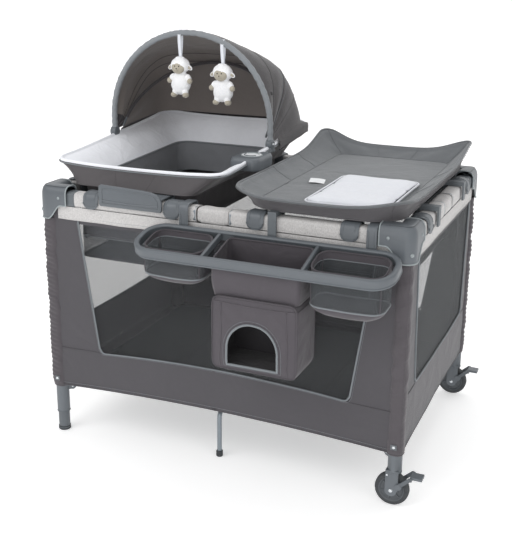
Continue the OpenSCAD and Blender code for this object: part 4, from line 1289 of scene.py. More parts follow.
def puff(o, pressure=4.0, voxel=0.005, cap=0.006, pin=None):
    """a short cloth run with air inside fills the pad; movement is capped"""
    sc_ = bpy.context.scene
    par, mw = o.parent, o.matrix_world.copy()
    me = o.data.copy()
    c = bpy.data.objects.new(o.name + "_run", me)
    sc_.collection.objects.link(c)
    c.matrix_world = mw
    bpy.context.view_layer.update()
    me.remesh_voxel_size = voxel
    rm = c.modifiers.new("remesh", "REMESH")
    rm.mode = "VOXEL"
    rm.voxel_size = voxel
    dg = bpy.context.evaluated_depsgraph_get()
    base = bpy.data.meshes.new_from_object(c.evaluated_get(dg))
    c.modifiers.clear()
    c.data = base
    n0 = np.zeros(len(base.vertices) * 3)
    base.vertices.foreach_get("co", n0)
    n0 = n0.reshape(-1, 3)
    cl = c.modifiers.new("cloth", "CLOTH")
    st = cl.settings
    st.quality = 4
    st.mass = 0.2
    st.tension_stiffness = st.compression_stiffness = 18
    st.bending_stiffness = 2.0
    st.use_pressure = True
    st.uniform_pressure_force = pressure
    st.effector_weights.gravity = 0.0
    cl.collision_settings.use_collision = False
    cl.point_cache.frame_start, cl.point_cache.frame_end = 1, 20
    for f in range(1, 21):
        sc_.frame_set(f)
    dg = bpy.context.evaluated_depsgraph_get()
    ev = c.evaluated_get(dg).to_mesh()
    n1 = np.zeros(len(ev.vertices) * 3)
    ev.vertices.foreach_get("co", n1)
    n1 = n1.reshape(-1, 3)
    if len(n1) == len(n0) and np.isfinite(n1).all():
        d = n1 - n0
        ln = np.linalg.norm(d, axis=1)
        k = np.minimum(1, cap / np.maximum(ln, 1e-9))
        new = n0 + d * k[:, None]
    else:
        new = n0
    c.modifiers.clear()
    sc_.frame_set(1)
    base.vertices.foreach_set("co", new.astype(np.float32).ravel())
    base.update()
    mats = list(o.data.materials)
    base.materials.clear()
    for m in mats[:1]:
        base.materials.append(m)
    base.polygons.foreach_set("use_smooth", np.ones(len(base.polygons), bool))
    base.polygons.foreach_set("material_index", np.zeros(len(base.polygons), np.int32))
    bb = bmesh.new()
    bb.from_mesh(base)
    bmesh.ops.smooth_vert(bb, verts=list(bb.verts), factor=0.5, use_axis_x=True, use_axis_y=True, use_axis_z=True)
    bb.to_mesh(base)
    bb.free()
    o.data = base
    bpy.data.objects.remove(c)


np_, npb = padded_slab("napper_cushion", "napper", -405, -122, -270, 266, 653.5, 671.5, 40, M_INNER, M_PIPE, channels=(("y", -90.0), ("y", 90.0)), seed=4)
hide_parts("napper_pad")
puff(np_)

# side plates of the napper's frame, with their arms over the rails
b = MB()
for s in (-1, 1):
    poly = [(-322, 694), (-142, 694), (-139, 700), (-139, 722), (-144, 733), (-154, 741), (-170, 745.5), (-200, 748), (-318, 752), (-324, 748), (-325, 740), (-325, 700)]
    M_ = Matrix(((1, 0, 0, 0), (0, 0, 1, 0), (0, 1, 0, 0), (0, 0, 0, 1)))
    y0_, y1_ = (376.8, 384.2) if s > 0 else (-384.2, -376.8)
    b.prism(poly, y0_, y1_, M_SLATE, M=M_, r=2.4, seg=3)
    lp = np.array([(-313, 703), (-150, 703), (-149, 722), (-158, 733), (-172, 737.5), (-200, 740), (-312, 743), (-314, 738)])
    lp = np.vstack([lp, lp[:1]])
    dens = np.vstack([np.linspace(lp[i], lp[i + 1], 8, endpoint=False) for i in range(len(lp) - 1)])
    b.tube(np.column_stack([dens[:, 0], np.full(len(dens), s * 384.4), dens[:, 1]]), 1.0, M_SLATE2, seg=6, closed=True)
    b.tube([(-316, s * 384.6, 711), (-232, s * 384.9, 708), (-148, s * 384.6, 711)], 1.3, M_SLATE, seg=6)
    b.rbox(-321, -143, min(s * 302, s * 378), max(s * 302, s * 378), 723.2, 727.8, M_SLATE, r=1.5)
    b.rbox(-321, -143, min(s * 298.6, s * 303), max(s * 298.6, s * 303), 700, 727.5, M_SLATE, r=1.5)
o = b.obj("napper_side_plates", "napper", sharp=35)
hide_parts("napper_frame")

# electronics box: rounded case, raised disc, ring and keys, no marks
b = MB()
poly = rr(-60, 26, -150, -30, 20, ns=4, nc=8)
cc = poly.mean(0)
prof = [(0.86, 769.5), (0.97, 770.5), (1.0, 775), (1.0, 793), (0.975, 799), (0.92, 803), (0.84, 804.6)]
rings = np.stack([np.column_stack([cc + (poly - cc) * k, np.full(len(poly), z)]) for k, z in prof])
b.grid(rings, M_SLATE, cv=True)
b.fan(rings[0], (cc[0], cc[1], 769.5), M_SLATE)
b.fan(rings[-1], (cc[0], cc[1], 805.2), M_SLATE)
T0 = Matrix.Translation(Vector((-14, -96, 803.0)))
b.lathe([(30, 0.6), (30, 2.2), (28.4, 3.0), (27, 3.0)], M_SILVER, M=T0, seg=64)
b.lathe([(27, 3.0), (25, 2.4), (14, 2.9), (0.1, 3.1)], M_LABEL, M=T0, seg=64)
for a0, a1, r_, m_ in ((35, 145, 20.5, M_SILVER), (215, 325, 20.5, M_SLATE), (160, 200, 20.5, M_SLATE2)):
    t = np.radians(np.linspace(a0, a1, 22))
    b.tube(np.column_stack([-14 + r_ * np.cos(t), -96 + r_ * np.sin(t), np.full(22, 806.0)]), 1.7, m_, seg=8)
for y in np.linspace(-128, -60, 6):
    b.tube([(-60.3, y, 779), (-60.3, y, 793)], 0.9, M_DARK, seg=6)
o = b.obj("music_unit", "napper", sharp=40)
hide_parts("electronics_box")

# knuckles at the hood's pivots
b = MB()
for s in (-1, 1):
    x = NCX + s * 255
    Mk = Matrix.Translation(Vector((x, 20, 815))) @ Matrix.Rotation(math.radians(90), 4, "Y")
    b.lathe([(0.1, -9.5), (11, -9.5), (14.5, -8.2), (15.6, -5), (15.6, 5), (14.5, 8.2), (11, 9.5), (4, 9.5), (3.6, 8.2), (0.1, 8.2)], M_SLATE, M=Mk, seg=40)
    ft = [(-13, 0), (-17, -9), (-26, -17), (26, -17), (17, -9), (13, 0)]
    Mf = Matrix.Translation(Vector((x, 20, 809))) @ Matrix.Rotation(math.radians(90), 4, "Z") @ Matrix.Rotation(math.radians(90), 4, "X")
    b.prism(ft, -8, 8, M_SLATE, M=Mf, r=2.0)
    b.screw((x + s * 9.6, 20, 815), (s, 0, 0), 4.0, M_BRIGHT)
o = b.obj("hood_knuckles", "napper", sharp=38)


# ------------------------------------------------------------------- hood
HY, HZ = 26.0, 820.0


def hood_pt(th, ph, add=0.0):
    """th degrees back from upright, ph 0..pi over the arch"""
    f = np.clip((th - 1) / 85.0, 0, 1)
    n = 2.0 + 6.0 * f ** 1.5
    c = np.sign(np.cos(ph)) * np.abs(np.cos(ph)) ** (2 / n)
    s = np.abs(np.sin(ph)) ** (2 / n)
    sag = 15.0 * np.sin(np.pi * np.clip(th / 45.0, 0, 1)) ** 2 * (th < 45) + 13.0 * np.sin(np.pi * np.clip((th - 45) / 41.0, 0, 1)) ** 2 * (th >= 45)
    half = 255 - 9 * np.exp(-((th - 45) / 16.0) ** 2)
    rise = half - sag * np.sin(ph) ** 0.7 + add
    wide = half - sag * 0.35 * np.abs(np.cos(ph)) + add
    r = 46 + rise * s
    q = np.radians(th)
    return np.stack([NCX + wide * c, HY + r * np.sin(q), HZ + r * np.cos(q)], -1)


def hood_piece():
    nt, npn = 46, 76
    th = np.linspace(0.5, 86, nt)
    ph = np.linspace(0.0, np.pi, npn)
    TH, PH = np.meshgrid(th, ph, indexing="ij")
    P = hood_pt(TH, PH)
    # creases that run from the pivots, and slow billows
    cr = 1.6 * np.sin(TH / 4.2 + 2.5 * vnoise(P, 80, 5)) * np.exp(-np.minimum(PH, np.pi - PH) / 0.42)
    bl = 3.0 * vnoise(P, 95, 7) * np.sin(PH) * np.sin(np.radians(TH) * 2) + 1.1 * vnoise(P, 32, 9) * np.sin(np.pi * TH / 86)
    q = np.radians(TH)
    d = np.stack([np.cos(PH), np.sin(PH) * np.sin(q), np.sin(PH) * np.cos(q)], -1)
    d = d / np.linalg.norm(d, axis=-1)[..., None]
    P = P + d * (cr + bl)[..., None]
    # lower side flaps from the arch's feet toward the pivot
    left, right = P[:, -1], P[:, 0]
    b = MB()
    b.grid(P, M_HOOD)
    for E, s in ((right, 1), (left, -1)):
        rows = [E]
        for t in (0.3, 0.6, 0.85):
            O = np.array([NCX + s * 256, HY - 2, HZ - 2])
            rows.append(lerp(E, O, t) + np.array([s * 1.5, 0, 0]) * math.sin(3.1 * t))
        b.grid(np.stack(rows), M_HOOD)
        b.tube(rows[-1], 1.6, M_HOOD, seg=6)
    # the back edge drops over the napper's rim, outside it
    cen_ = np.array([NCX, 120.0])
    e_ = P[-1][:, :2] - cen_
    e_ = e_ / np.linalg.norm(e_, axis=1)[:, None]
    rows = [P[-1]]
    rl = rr(-521, -6, -299, 337, 44, ns=26, nc=10)
    ra = np.arctan2(rl[:, 1] - cen_[1], rl[:, 0] - cen_[0])
    od = np.argsort(ra)
    rad_ = np.interp(np.arctan2(e_[:, 1], e_[:, 0]), ra[od], np.linalg.norm(rl - cen_, axis=1)[od], period=2 * np.pi)
    own = np.linalg.norm(P[-1][:, :2] - cen_, axis=1)
    back_ = smooth(40, 90, P[-1][:, 1])
    for dz, wt, do in ((2, 0.55, 6.0), (7, 1.0, 7.5), (14, 1.0, 8.5), (22, 1.0, 8.0), (29, 1.0, 6.5)):
        Q = P[-1].copy()
        tgt_ = own + (np.maximum(rad_ + do, own) - own) * wt
        Q[:, :2] = cen_ + e_ * tgt_[:, None]
        Q[:, 2] = np.minimum(Q[:, 2] - dz, nrim(Q) + 13 - dz) + 1.5 * vnoise(Q, 40, 13)
        rows.append(Q)
    b.grid(np.stack(rows), M_HOOD)
    # bindings and seams
    b.tube(rows[-1], 2.2, M_HOOD, seg=7)
    for tt, m_, r_ in ((45.0, M_HOOD, 1.5), (22.0, M_HOOD, 0.5), (66.0, M_HOOD, 0.5)):
        i = int(np.argmin(np.abs(th - tt)))
        b.tube(P[i] + d[i] * 0.4, r_, m_, seg=6)
    for tt in (42.0, 48.0):
        i = int(np.argmin(np.abs(th - tt)))
        b.tube(P[i] + d[i] * 0.3, 0.5, M_PIPE, seg=5)
    b.prism([(0, 0), (9, 0), (9, 13), (0, 13)], 0, 0.8, M_TAG, r=0.2,
            M=Matrix.Translation(Vector(P[6, 8].tolist())) @ Matrix.Rotation(math.radians(70), 4, "Y"))
    o = b.obj("hood_sheet", None, sharp=0)
    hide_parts("canopy_fabric")
    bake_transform(o)
    # its paler lining, a little inside, with the middle bow's seam
    k = MB()
    Pi = P - d * (2.0 + 0.6 * np.sin(np.pi * TH / 86))[..., None]
    k.grid(Pi, M_HOODIN)
    i = int(np.argmin(np.abs(th - 45.0)))
    for j in (i - 2, i + 2):
        k.tube(Pi[j] - d[j] * 0.5, 0.8, M_HOOD, seg=6)
    ln = k.obj("hood_lining", None, sharp=0)
    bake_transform(ln)


hood_piece()

# front bow in its gathered sleeve
b = MB()
path = [(NCX - 255, 20, z) for z in np.linspace(822, 856, 8)]
path += [(NCX + 255 * math.cos(t), 20, 861 + 255 * math.sin(t)) for t in np.linspace(math.pi, 0, 120)]
path += [(NCX + 255, 20, z) for z in np.linspace(856, 822, 8)]
path = np.array(path)
L_ = np.cumsum(np.r_[0, np.linalg.norm(np.diff(path, axis=0), axis=1)])
rad = 8.2 + 0.7 * np.sin(L_ / 3.3 + 2 * np.sin(L_ / 31)) + 0.5 * vnoise(np.column_stack([L_, L_ * 0, L_ * 0]), 12, 4)
b.tube(path, rad, M_BOW, seg=22)
t_in = path.copy()
b.tube(path[6:-6] + np.array([0, 8.6, 0]) * 1.0, 1.5, M_BOW, seg=6)
o = b.obj("bow_sleeve_front", "canopy_bow_front", sharp=0)
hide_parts("canopy_bow_front")
# the middle bow's channel, sewn inside the hood
b = MB()
a45 = math.radians(45)
path = []
for t in np.linspace(math.pi * 0.99, math.pi * 0.01, 70):
    h = 46 + 236 * math.sin(t)
    path.append((NCX + 236 * math.cos(t), 20 + h * math.sin(a45), 815 + h * math.cos(a45)))
b.tube(np.array(path), 5.2, M_HOOD, seg=12)
o = b.obj("bow_channel_mid", "canopy_bow_mid", sharp=0)


# ------------------------------------------------------------------- toys
def lamb(name, x, top, feet, sd):
    b = MB()
    H = top - feet                  # from ribbon foot to the feet
    k = H / 112.0
    y = 20.0
    zf = feet

    def wool(V, D):
        n_ = np.linalg.norm(V, axis=-1)[..., None]
        return V * (1 + 0.045 * vnoise(V * 1.0, 9, sd)[..., None] + 0.02 * vnoise(V, 4, sd + 1)[..., None])

    def tilt(a, ax):
        return Matrix.Rotation(math.radians(a), 4, ax)

    b.ball((x, y, zf + 42 * k), (28 * k, 20 * k, 34 * k), M_PLUSH, nu=30, nv=22, warp=lambda V, D: wool(V, D) * np.concatenate([1 - 0.14 * D[..., 2:3], 1 - 0.10 * D[..., 2:3], 1 + 0 * D[..., 2:3]], -1))
    b.ball((x, y - 3, zf + 88 * k), (28 * k, 21 * k, 23 * k), M_PLUSH, nu=32, nv=22, warp=wool)
    b.ball((x, y - 17, zf + 84 * k), (19.5 * k, 9 * k, 17 * k), M_PLUSHB, nu=26, nv=18, warp=lambda V, D: V * (1 + 0.06 * D[..., 2:3] * -1))
    b.ball((x, y - 25, zf + 79 * k), (6.5 * k, 3.6 * k, 4.6 * k), M_PLUSHB, nu=18, nv=12)
    b.ball((x, y - 28.2, zf + 81 * k), (2.3 * k, 1.2 * k, 1.6 * k), M_EYE, nu=12, nv=8)
    for s in (-1, 1):
        b.ball((x + s * 6.2 * k, y - 25.2, zf + 87.5 * k), (1.9 * k, 1.3 * k, 2.1 * k), M_EYE, nu=12, nv=8)
        b.ball((x + s * 27 * k, y - 4, zf + 84 * k), (12 * k, 4.2 * k, 6.5 * k), M_PLUSH, M=tilt(s * 32, "Y"), nu=20, nv=12, warp=wool)
        b.ball((x + s * 28 * k, y - 7.2, zf + 83.5 * k), (8 * k, 2.0 * k, 4.0 * k), M_PLUSHB, M=tilt(s * 32, "Y"), nu=16, nv=10)
        b.ball((x + s * 25 * k, y - 4, zf + 54 * k), (8 * k, 8 * k, 13 * k), M_PLUSH, M=tilt(s * -28, "Y"), nu=20, nv=14, warp=wool)
        b.ball((x + s * 31 * k, y - 8, zf + 46 * k), (7.5 * k, 7.5 * k, 8 * k), M_PLUSHB, nu=18, nv=12, warp=lambda V, D: V * (1 + 0.08 * D[..., 2:3]))
        b.ball((x + s * 14 * k, y - 5, zf + 17 * k), (10 * k, 10 * k, 11 * k), M_PLUSH, nu=20, nv=14, warp=wool)
        b.ball((x + s * 18 * k, y - 9, zf + 8 * k), (9 * k, 11 * k, 8 * k), M_PLUSHB, nu=20, nv=12, warp=lambda V, D: V * (1 + 0.08 * D[..., 1:2]))
    # tuft and neck seam
    for j in range(5):
        a = j * 2 * math.pi / 5
        b.ball((x + 7 * k * math.cos(a), y - 4 + 5 * k * math.sin(a), zf + 107 * k), (7 * k, 6 * k, 5.5 * k), M_PLUSH, nu=14, nv=10, warp=wool)
    zb = 815 + 46 + math.sqrt(255 ** 2 - (x - NCX) ** 2)
    t = np.linspace(0, 2 * np.pi, 40, endpoint=False)
    lz0, lz1 = zf + 108 * k, zb + 9.5
    loop = np.column_stack([np.full(40, x), y + np.where(np.cos(t) > 0, 9.6, 9.6) * np.sin(t) * (0.35 + 0.65 * smooth(lz0, lz1 - 8, (lz0 + lz1) / 2 + (lz1 - lz0) / 2 * np.cos(t))), (lz0 + lz1) / 2 + (lz1 - lz0) / 2 * np.cos(t)])
    rib = []
    for w_ in (-4.2, 4.2):
        rib.append(loop + np.array([w_, 0, 0]))
    R2 = np.stack([np.stack([loop + np.array([w_, 0, 0]) for w_ in (-4.5, -1.5, 1.5, 4.5)], 1)])[0]
    b.grid(R2, M_RIBBON, cu=True)
    b.tube(rib[0], 0.6, M_RIBBON, seg=5, closed=True)
    b.tube(rib[1], 0.6, M_RIBBON, seg=5, closed=True)
    o = b.obj("lamb_" + name, "toy_" + name, sharp=0)
    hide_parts("toy_" + name)


lamb("left", -290.0, 1048.0, 931.0, 3)
lamb("right", -155.0, 1034.0, 917.0, 8)

# ---------------------------------------------------------------- changer
def changer_piece():
    cen = np.array([262.0, 0.0])
    rim = rr4(27, 491, -386, 386, (96, 24, 42, 135), ns=30, nc=10)
    n = len(rim)

    def bumpc(P, x, y, rx, ry):
        return np.exp(-((P[:, 0] - x) / rx) ** 2 - ((P[:, 1] - y) / ry) ** 2)

    zr = 766 + 43 * bumpc(rim, 22, 388, 80, 120) + 36 * bumpc(rim, 495, 385, 85, 120) + 15 * bumpc(rim, 492, -392, 90, 110) + 6 * bumpc(rim, 24, -392, 80, 110)
    zr = zr - 3.5 * bumpc(rim, 262, -386, 160, 60)
    A = np.column_stack([rim, zr])
    under = np.column_stack([rr4(64, 474, -362, 350, (90, 40, 50, 120), ns=30, nc=10), np.full(n, 730.0)])
    floor_ = np.column_stack([rr4(98, 442, -334, 333, (40, 30, 30, 60), ns=30, nc=10), np.full(n, 741.5)])

    def dirs(P):
        d = P[:, :2] - cen
        # a squarer direction field, so long sides move straight out
        d = d / np.array([232.0, 386.0])
        d = np.sign(d) * np.abs(d) ** 5
        return d / (np.linalg.norm(d, axis=1)[:, None] + 1e-9)

    tt = np.arange(n) / n
    b = MB()
    outer = []
    for t in np.linspace(0, 1, 16):
        P = lerp(A, under, t)
        P[:, :2] += dirs(P) * ((-4.5 + 2.4 * vnoise(P, 55, 81)) * math.sin(math.pi * t))[:, None]
        outer.append(P)
    b.grid(np.stack(outer), M_CHUNDER, cv=True)
    bt = []
    for k in (1.0, 0.97, 0.9, 0.7, 0.4, 0.03):
        q = cen + (under[:, :2] - cen) * k
        bt.append(np.column_stack([q, 731.0 - 2.0 * (1 - k) * (k > 0.5) - (1.2 if k <= 0.5 else 0) + 0.5 * vnoise(np.column_stack([q, q[:, 0] * 0]), 80, 82)]))
    b.grid(np.stack(bt), M_CHUNDER, cv=True)
    b.tube(under, 2.0, M_CHUNDER, seg=7, closed=True)
    inner = []
    for j, t in enumerate(np.linspace(0, 1, 22)):
        P = lerp(A, floor_, t)
        sg = math.sin(math.pi * t)
        # padded wall: a low roll near the rim, soft folds lower down
        roll = 4.0 * math.exp(-((t - 0.12) / 0.09) ** 2)
        fold = 2.2 * np.sin(tt * 2 * np.pi * 23 + 4 * vnoise(P, 90, 83)) * sg * (t ** 0.6)
        P[:, 2] += roll + 2.6 * vnoise(P, 70, 84) * sg + fold * 0.55
        P[:, :2] -= dirs(P) * (2.5 * vnoise(P, 60, 85) * sg + fold * 0.5)[:, None]
        inner.append(P)
    inner = np.stack(inner)
    b.grid(inner, M_CHANGER, cv=True)
    fl = []
    for k in np.concatenate([[1.0, 0.99, 0.975], np.linspace(0.95, 0.03, 26)]):
        q = cen + (floor_[:, :2] - cen) * k
        P3 = np.column_stack([q, q[:, 0] * 0])
        z = 741.5 + 1.3 * vnoise(P3, 75, 86) * (1 - k) ** 0.3 + 0.7 * vnoise(P3, 28, 87) * (1 - k) ** 0.3
        z = z - 2.4 * np.exp(-((q[:, 1] - 60) / 5) ** 2) - 2.4 * np.exp(-((q[:, 1] + 120) / 5) ** 2) * (k < 1)
        fl.append(np.column_stack([q, np.minimum(z, 742.3)]))
    b.grid(np.stack(fl), M_CHANGER, cv=True)
    # piped rim with stitches, floor seam, and seams that run down from the rim
    b.tube(A + np.array([0, 0, 0.8]), 3.2, M_CHANGER, seg=12, closed=True)
    st = A.copy()
    st[:, :2] += dirs(A) * 4.0
    st[:, 2] -= 1.8
    b.tube(st, 0.8, M_CHANGER, seg=6, closed=True)
    b.tube(floor_ + np.array([0, 0, 0.4]), 1.6, M_CHANGER, seg=7, closed=True)
    for i in [40 * k + 30 + 5 for k in range(4)] + [10, 20, 40 + 10, 40 + 20, 80 + 10, 80 + 20, 120 + 10, 120 + 20]:
        b.tube(inner[1:, i % n] + np.array([0, 0, 0.5]), 1.0 if i % 40 == 35 else 0.7, M_CHANGER, seg=6)
        if i % 40 == 35:
            b.tube(np.stack([r[i % n] for r in outer]), 1.1, M_CHUNDER, seg=6)
    # blank care tags sewn beside the pad
    M_ = Matrix.Translation(Vector((168, -70, 743.6))) @ Matrix.Rotation(math.radians(14), 4, "Z") @ Matrix.Rotation(math.radians(4), 4, "Y")
    tagg = []
    for i in range(9):
        row = []
        for j in range(7):
            p = M_ @ Vector(((i - 4) * 5.2, (j - 3) * 8.5, 0.8 + 2.0 * math.sin(i / 8 * math.pi) * 0.6 + 0.5 * math.sin(j * 1.2)))
            row.append(tuple(p))
        tagg.append(row)
    b.grid(np.array(tagg), M_LABEL)
    o = b.obj("changer_shell", "changer", sharp=0)
    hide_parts("changer_tub")


changer_piece()
cp, cpb = padded_slab("changer_cushion", "changer", 218, 433, -315, 7, 743.2, 754.0, 24, M_WHITE, M_WHITE, channels=(("y", -205.0), ("y", -100.0)), bind=2.6, seed=6)
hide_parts("changer_pad")
puff(cp, cap=0.005)

# --------------------------------------------------------------- organizer
OA = math.radians(15.5)
OX0, OX1 = -165.0, 505.0


def org(u, v, w):
    """along x, forward from the hoop's rear edge, and up from its top, in the hoop's own tilt"""
    u, v, w = np.broadcast_arrays(np.asarray(u, float), np.asarray(v, float), np.asarray(w, float))
    return np.stack([u, -388 - v * math.cos(OA) - w * math.sin(OA), 674 - v * math.sin(OA) + w * math.cos(OA)], -1)


def strap(b, x, path, hw, t, mat, rnd=3.0):
    """a moulded hook: a strip of thickness t that follows path (y, z), hw to each side of x"""
    path = np.asarray(path, float)
    T = np.gradient(path, axis=0)
    T /= np.linalg.norm(T, axis=1)[:, None]
    N = np.column_stack([-T[:, 1], T[:, 0]])
    us = np.array([-1, -0.98, -0.9, -0.5, 0, 0.5, 0.9, 0.98, 1])
    th = t * np.array([0.35, 0.75, 1, 1, 1, 1, 1, 0.75, 0.35])
    rows = []
    for i in range(len(path)):
        a = path[i] + N[i] * th[:, None] / 2
        c = path[i] - N[i] * th[:, None] / 2
        top = np.column_stack([x + us * hw, a])
        bot = np.column_stack([x + us * hw, c])[::-1]
        rows.append(np.vstack([top, bot]))
    P = np.stack(rows)
    b.grid(P, mat, cv=True)
    for k in (0, -1):
        b.fan(P[k], P[k].mean(0), mat)


b = MB()
prof = [(1.6, -26), (0.2, -22.5), (0, -14), (0, -5), (0.8, -1.8), (3.2, 0.2), (7, 0.9), (11, 0.4), (13.6, -1.6), (14, -4.2), (12.2, -6.6), (10.6, -9.5), (10.2, -22), (8.8, -26), (5, -27)]
rings = []
for o_, w_ in prof:
    lp = rr(OX0 + o_, OX1 - o_, o_, 137 - o_, 58 - o_, ns=40, nc=16)
    rings.append(org(lp[:, 0], lp[:, 1], w_))
b.grid(np.stack(rings), M_SLATE, cu=True, cv=True)
lp = rr(OX0 - 0.1, OX1 + 0.1, -0.1, 137.1, 58, ns=40, nc=16)
b.tube(org(lp[:, 0], lp[:, 1], -21.5), 1.0, M_SLATE, seg=6, closed=True)
for x in (34.0, 291.0):
    vs = np.linspace(6, 131, 12)
    cr_ = []
    for v in vs:
        sec = rr(-4.2, 4.2, -20, -3.4, 2.4, ns=3, nc=4)
        cr_.append(org(x + sec[:, 0], v, sec[:, 1]))
    b.grid(np.stack(cr_), M_SLATE, cv=True)
for x in (-75.0, 417.0):
    pth = [(-383, 650), (-383.2, 670), (-383.2, 700), (-382.6, 714), (-379.5, 721), (-373.5, 724.2), (-360, 725), (-344, 725), (-331.5, 724.2), (-327, 721), (-325.6, 714), (-325.8, 703)]
    strap(b, x, pth, 12.6, 4.0, M_SLATE)
    for f in (-7.5, 7.5):
        b.tube([(x + f, -385.6, 655), (x + f, -385.8, 700), (x + f, -384.6, 713)], 1.0, M_SLATE, seg=6)
    b.screw((x, -385.6, 664), (0, -1, 0), 3.6, M_SILVER)
    b.rbox(x - 16, x + 16, -390, -384, 650, 668, M_SLATE, r=2)
o = b.obj("organizer_hoop", "organizer", sharp=50)
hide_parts("organizer_frame")


def ztop(y):
    return 674 - (-388 - y) * math.tan(OA) - 14.0


def pocket(name, x0, x1, y0, y1, zb, r, net, sd, full=24.0):
    b = MB()
    nn = None
    rows = []
    K = 22
    cx, cy = (x0 + x1) / 2, (y0 + y1) / 2
    for j in range(K + 1):
        t = j / K
        # near the bottom the sides turn in under a full curve
        turn = smooth(0.74, 1.0, t)
        ins = (1 - math.sqrt(max(0.0, 1 - float(turn) ** 2))) * full
        bulge = 3.0 * math.sin(math.pi * min(t / 0.9, 1.0))
        lo = rr(x0 + ins - bulge, x1 - ins + bulge, y0 + ins * 0.8 - bulge, y1 - ins * 0.6 + 0.3 * bulge, max(r - ins * 0.4, 8), ns=18, nc=8)
        z1 = ztop(lo[:, 1])
        z = z1 + (zb + 1.0 - z1) * (t ** 0.96)
        # the free bottom edge hangs in a shallow curve
        z = z + (7.0 if full > 10 else 0.0) * ((lo[:, 0] - cx) / ((x1 - x0) / 2)) ** 2 * t ** 3
        P = np.column_stack([lo, z])
        P[:, 1] += 1.8 * vnoise(P, 42, sd) * math.sin(math.pi * t) + 0.8 * vnoise(P, 16, sd + 1) * math.sin(math.pi * t)
        P[:, 0] += 1.6 * vnoise(P, 48, sd + 2) * math.sin(math.pi * t)
        P[:, 0] = np.clip(P[:, 0], OX0 + 12, OX1 - 12)
        rows.append(P)
    rows = np.stack(rows)
    a, c = (3, 17) if net else (K, K)
    wall = M_BAG
    b.grid(rows[:a + 1], wall, cv=True)
    if net:
        b.grid(rows[a:c + 1], M_NETD, cv=True)
        b.grid(rows[c:], wall, cv=True)
        b.tube(rows[a], 1.2, M_PIPE, seg=6, closed=True)
        b.tube(rows[c], 2.2, M_PIPE, seg=7, closed=True)
        for i in (26 * k + 22 for k in range(4)):
            b.tube(rows[2:c + 1, i % rows.shape[1]], 1.5, M_BAG, seg=6)
    # floor of the pocket
    fl = [rows[-1]]
    for k in (0.85, 0.55, 0.25, 0.03):
        q = rows[-1].copy()
        q[:, :2] = np.array([cx, cy]) + (q[:, :2] - np.array([cx, cy])) * k
        q[:, 2] = q[:, 2] * k + (zb + 0.6) * (1 - k)
        fl.append(q)
    b.grid(np.stack(fl), wall, cv=True)
    b.tube(rows[0] + np.array([0, 0, 0.5]), 2.4, M_BAG, seg=7, closed=True)
    o = b.obj(name, "organizer", sharp=0)
    return o


pl = pocket("pocket_left", -140, 24, -487, -397, 545, 30, True, 91)
pm = pocket("pocket_middle", 60, 283, -500, -397, 543, 12, False, 95, full=2.0)
pr = pocket("pocket_right", 299, 478, -487, -397, 520, 30, True, 99)
for p in (pl, pm, pr):
    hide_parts("organizer_bags")

# nappy stacker: a soft box with an arched mouth
N_ = 96
PH_ = np.linspace(0, 2 * np.pi, N_, endpoint=False)
CX_, CZ_ = 170.0, 419.0
MZ_ = 454.0


def ray_rect(grow=0.0, rc=16.0):
    up, dn = 127.0 + grow, 57.0 + grow
    c, s = np.cos(PH_), np.sin(PH_)
    hx = np.where(c >= 0, 113.0, 106.0) + grow
    k = np.minimum(hx / np.maximum(np.abs(c), 1e-6), np.where(s >= 0, up, dn) / np.maximum(np.abs(s), 1e-6))
    x, z = c * k, s * k
    # round the corners
    dx, dz = hx - np.abs(x), np.where(s >= 0, up - z, dn + z)
    near = np.clip(1 - (dx + dz) / rc, 0, 1)
    return CX_ + x * (1 - 0.045 * near), CZ_ + z * (1 - 0.035 * near)


def ray_arch(grow=0.0):
    c, s = np.cos(PH_), np.sin(PH_)
    low = np.minimum((66.0 + grow) / np.maximum(np.abs(c), 1e-6), (44.0 + grow * 0.6) / np.maximum(np.abs(s), 1e-6))
    k = np.where(s >= 0, 66.0 + grow, low)
    return CX_ + c * k, CZ_ + s * k


b = MB()
rx, rz = ray_rect()
ax_, az_ = ray_arch()


def front_y(x, z):
    P = np.column_stack([x, x * 0, z])
    e = np.minimum(np.minimum(x - 64, 283 - x), np.minimum(z - 362, 546 - z))
    m_ = smooth(0, 30, e)
    return -507 - 4.0 * m_ + 2.0 * vnoise(P, 44, 101) * m_ + 0.9 * vnoise(P, 17, 102) * m_ + 1.2 * np.sin(x / 9 + z / 31) * m_ * smooth(470, 540, z)


face = []
for t in np.linspace(0, 1, 12):
    x = ax_ + (rx - ax_) * t
    z = az_ + (rz - az_) * t
    face.append(np.column_stack([x, front_y(x, z), z]))
b.grid(np.stack(face), M_BAG, cv=True)
rings = [face[-1]]
for t in np.linspace(0, 1, 14)[1:]:
    y = -507 + 121 * t
    sag = math.sin(math.pi * t)
    x = CX_ + (rx - CX_) * (1 + 0.016 * sag)
    z = rz + np.where(rz > 534, -4.0 * sag * (1 - ((rx - CX_) / 113) ** 2), 0) + np.where(rz < 370, -0.8 * sag, 0)
    P = np.column_stack([x, np.full(N_, y), z])
    w_ = 1.5 * vnoise(P, 40, 103) * sag
    P[:, 0] += np.sign(rx - CX_) * w_ * (np.abs(rx - CX_) > 95)
    rings.append(P)
b.grid(np.stack(rings), M_BAG, cv=True)
back = [rings[-1] + np.array([0, 0.3, 0])]   # the back panel is sewn on
for k in (0.9, 0.6, 0.3, 0.03):
    P = rings[-1].copy()
    P[:, 0] = CX_ + (P[:, 0] - CX_) * k
    P[:, 2] = MZ_ + (P[:, 2] - MZ_) * k
    back.append(P)
b.grid(np.stack(back), M_BAG, cv=True)
b.tube(face[-1] + np.array([0, -0.4, 0]), 1.5, M_BAG, seg=7, closed=True)
b.tube(rings[-1], 1.3, M_BAG, seg=7, closed=True)
b.tube(np.column_stack([ax_, front_y(ax_, az_) - 1.2, az_]), 2.9, M_PIPE, seg=8, closed=True)
sx_, sz_ = ray_arch(9.0)
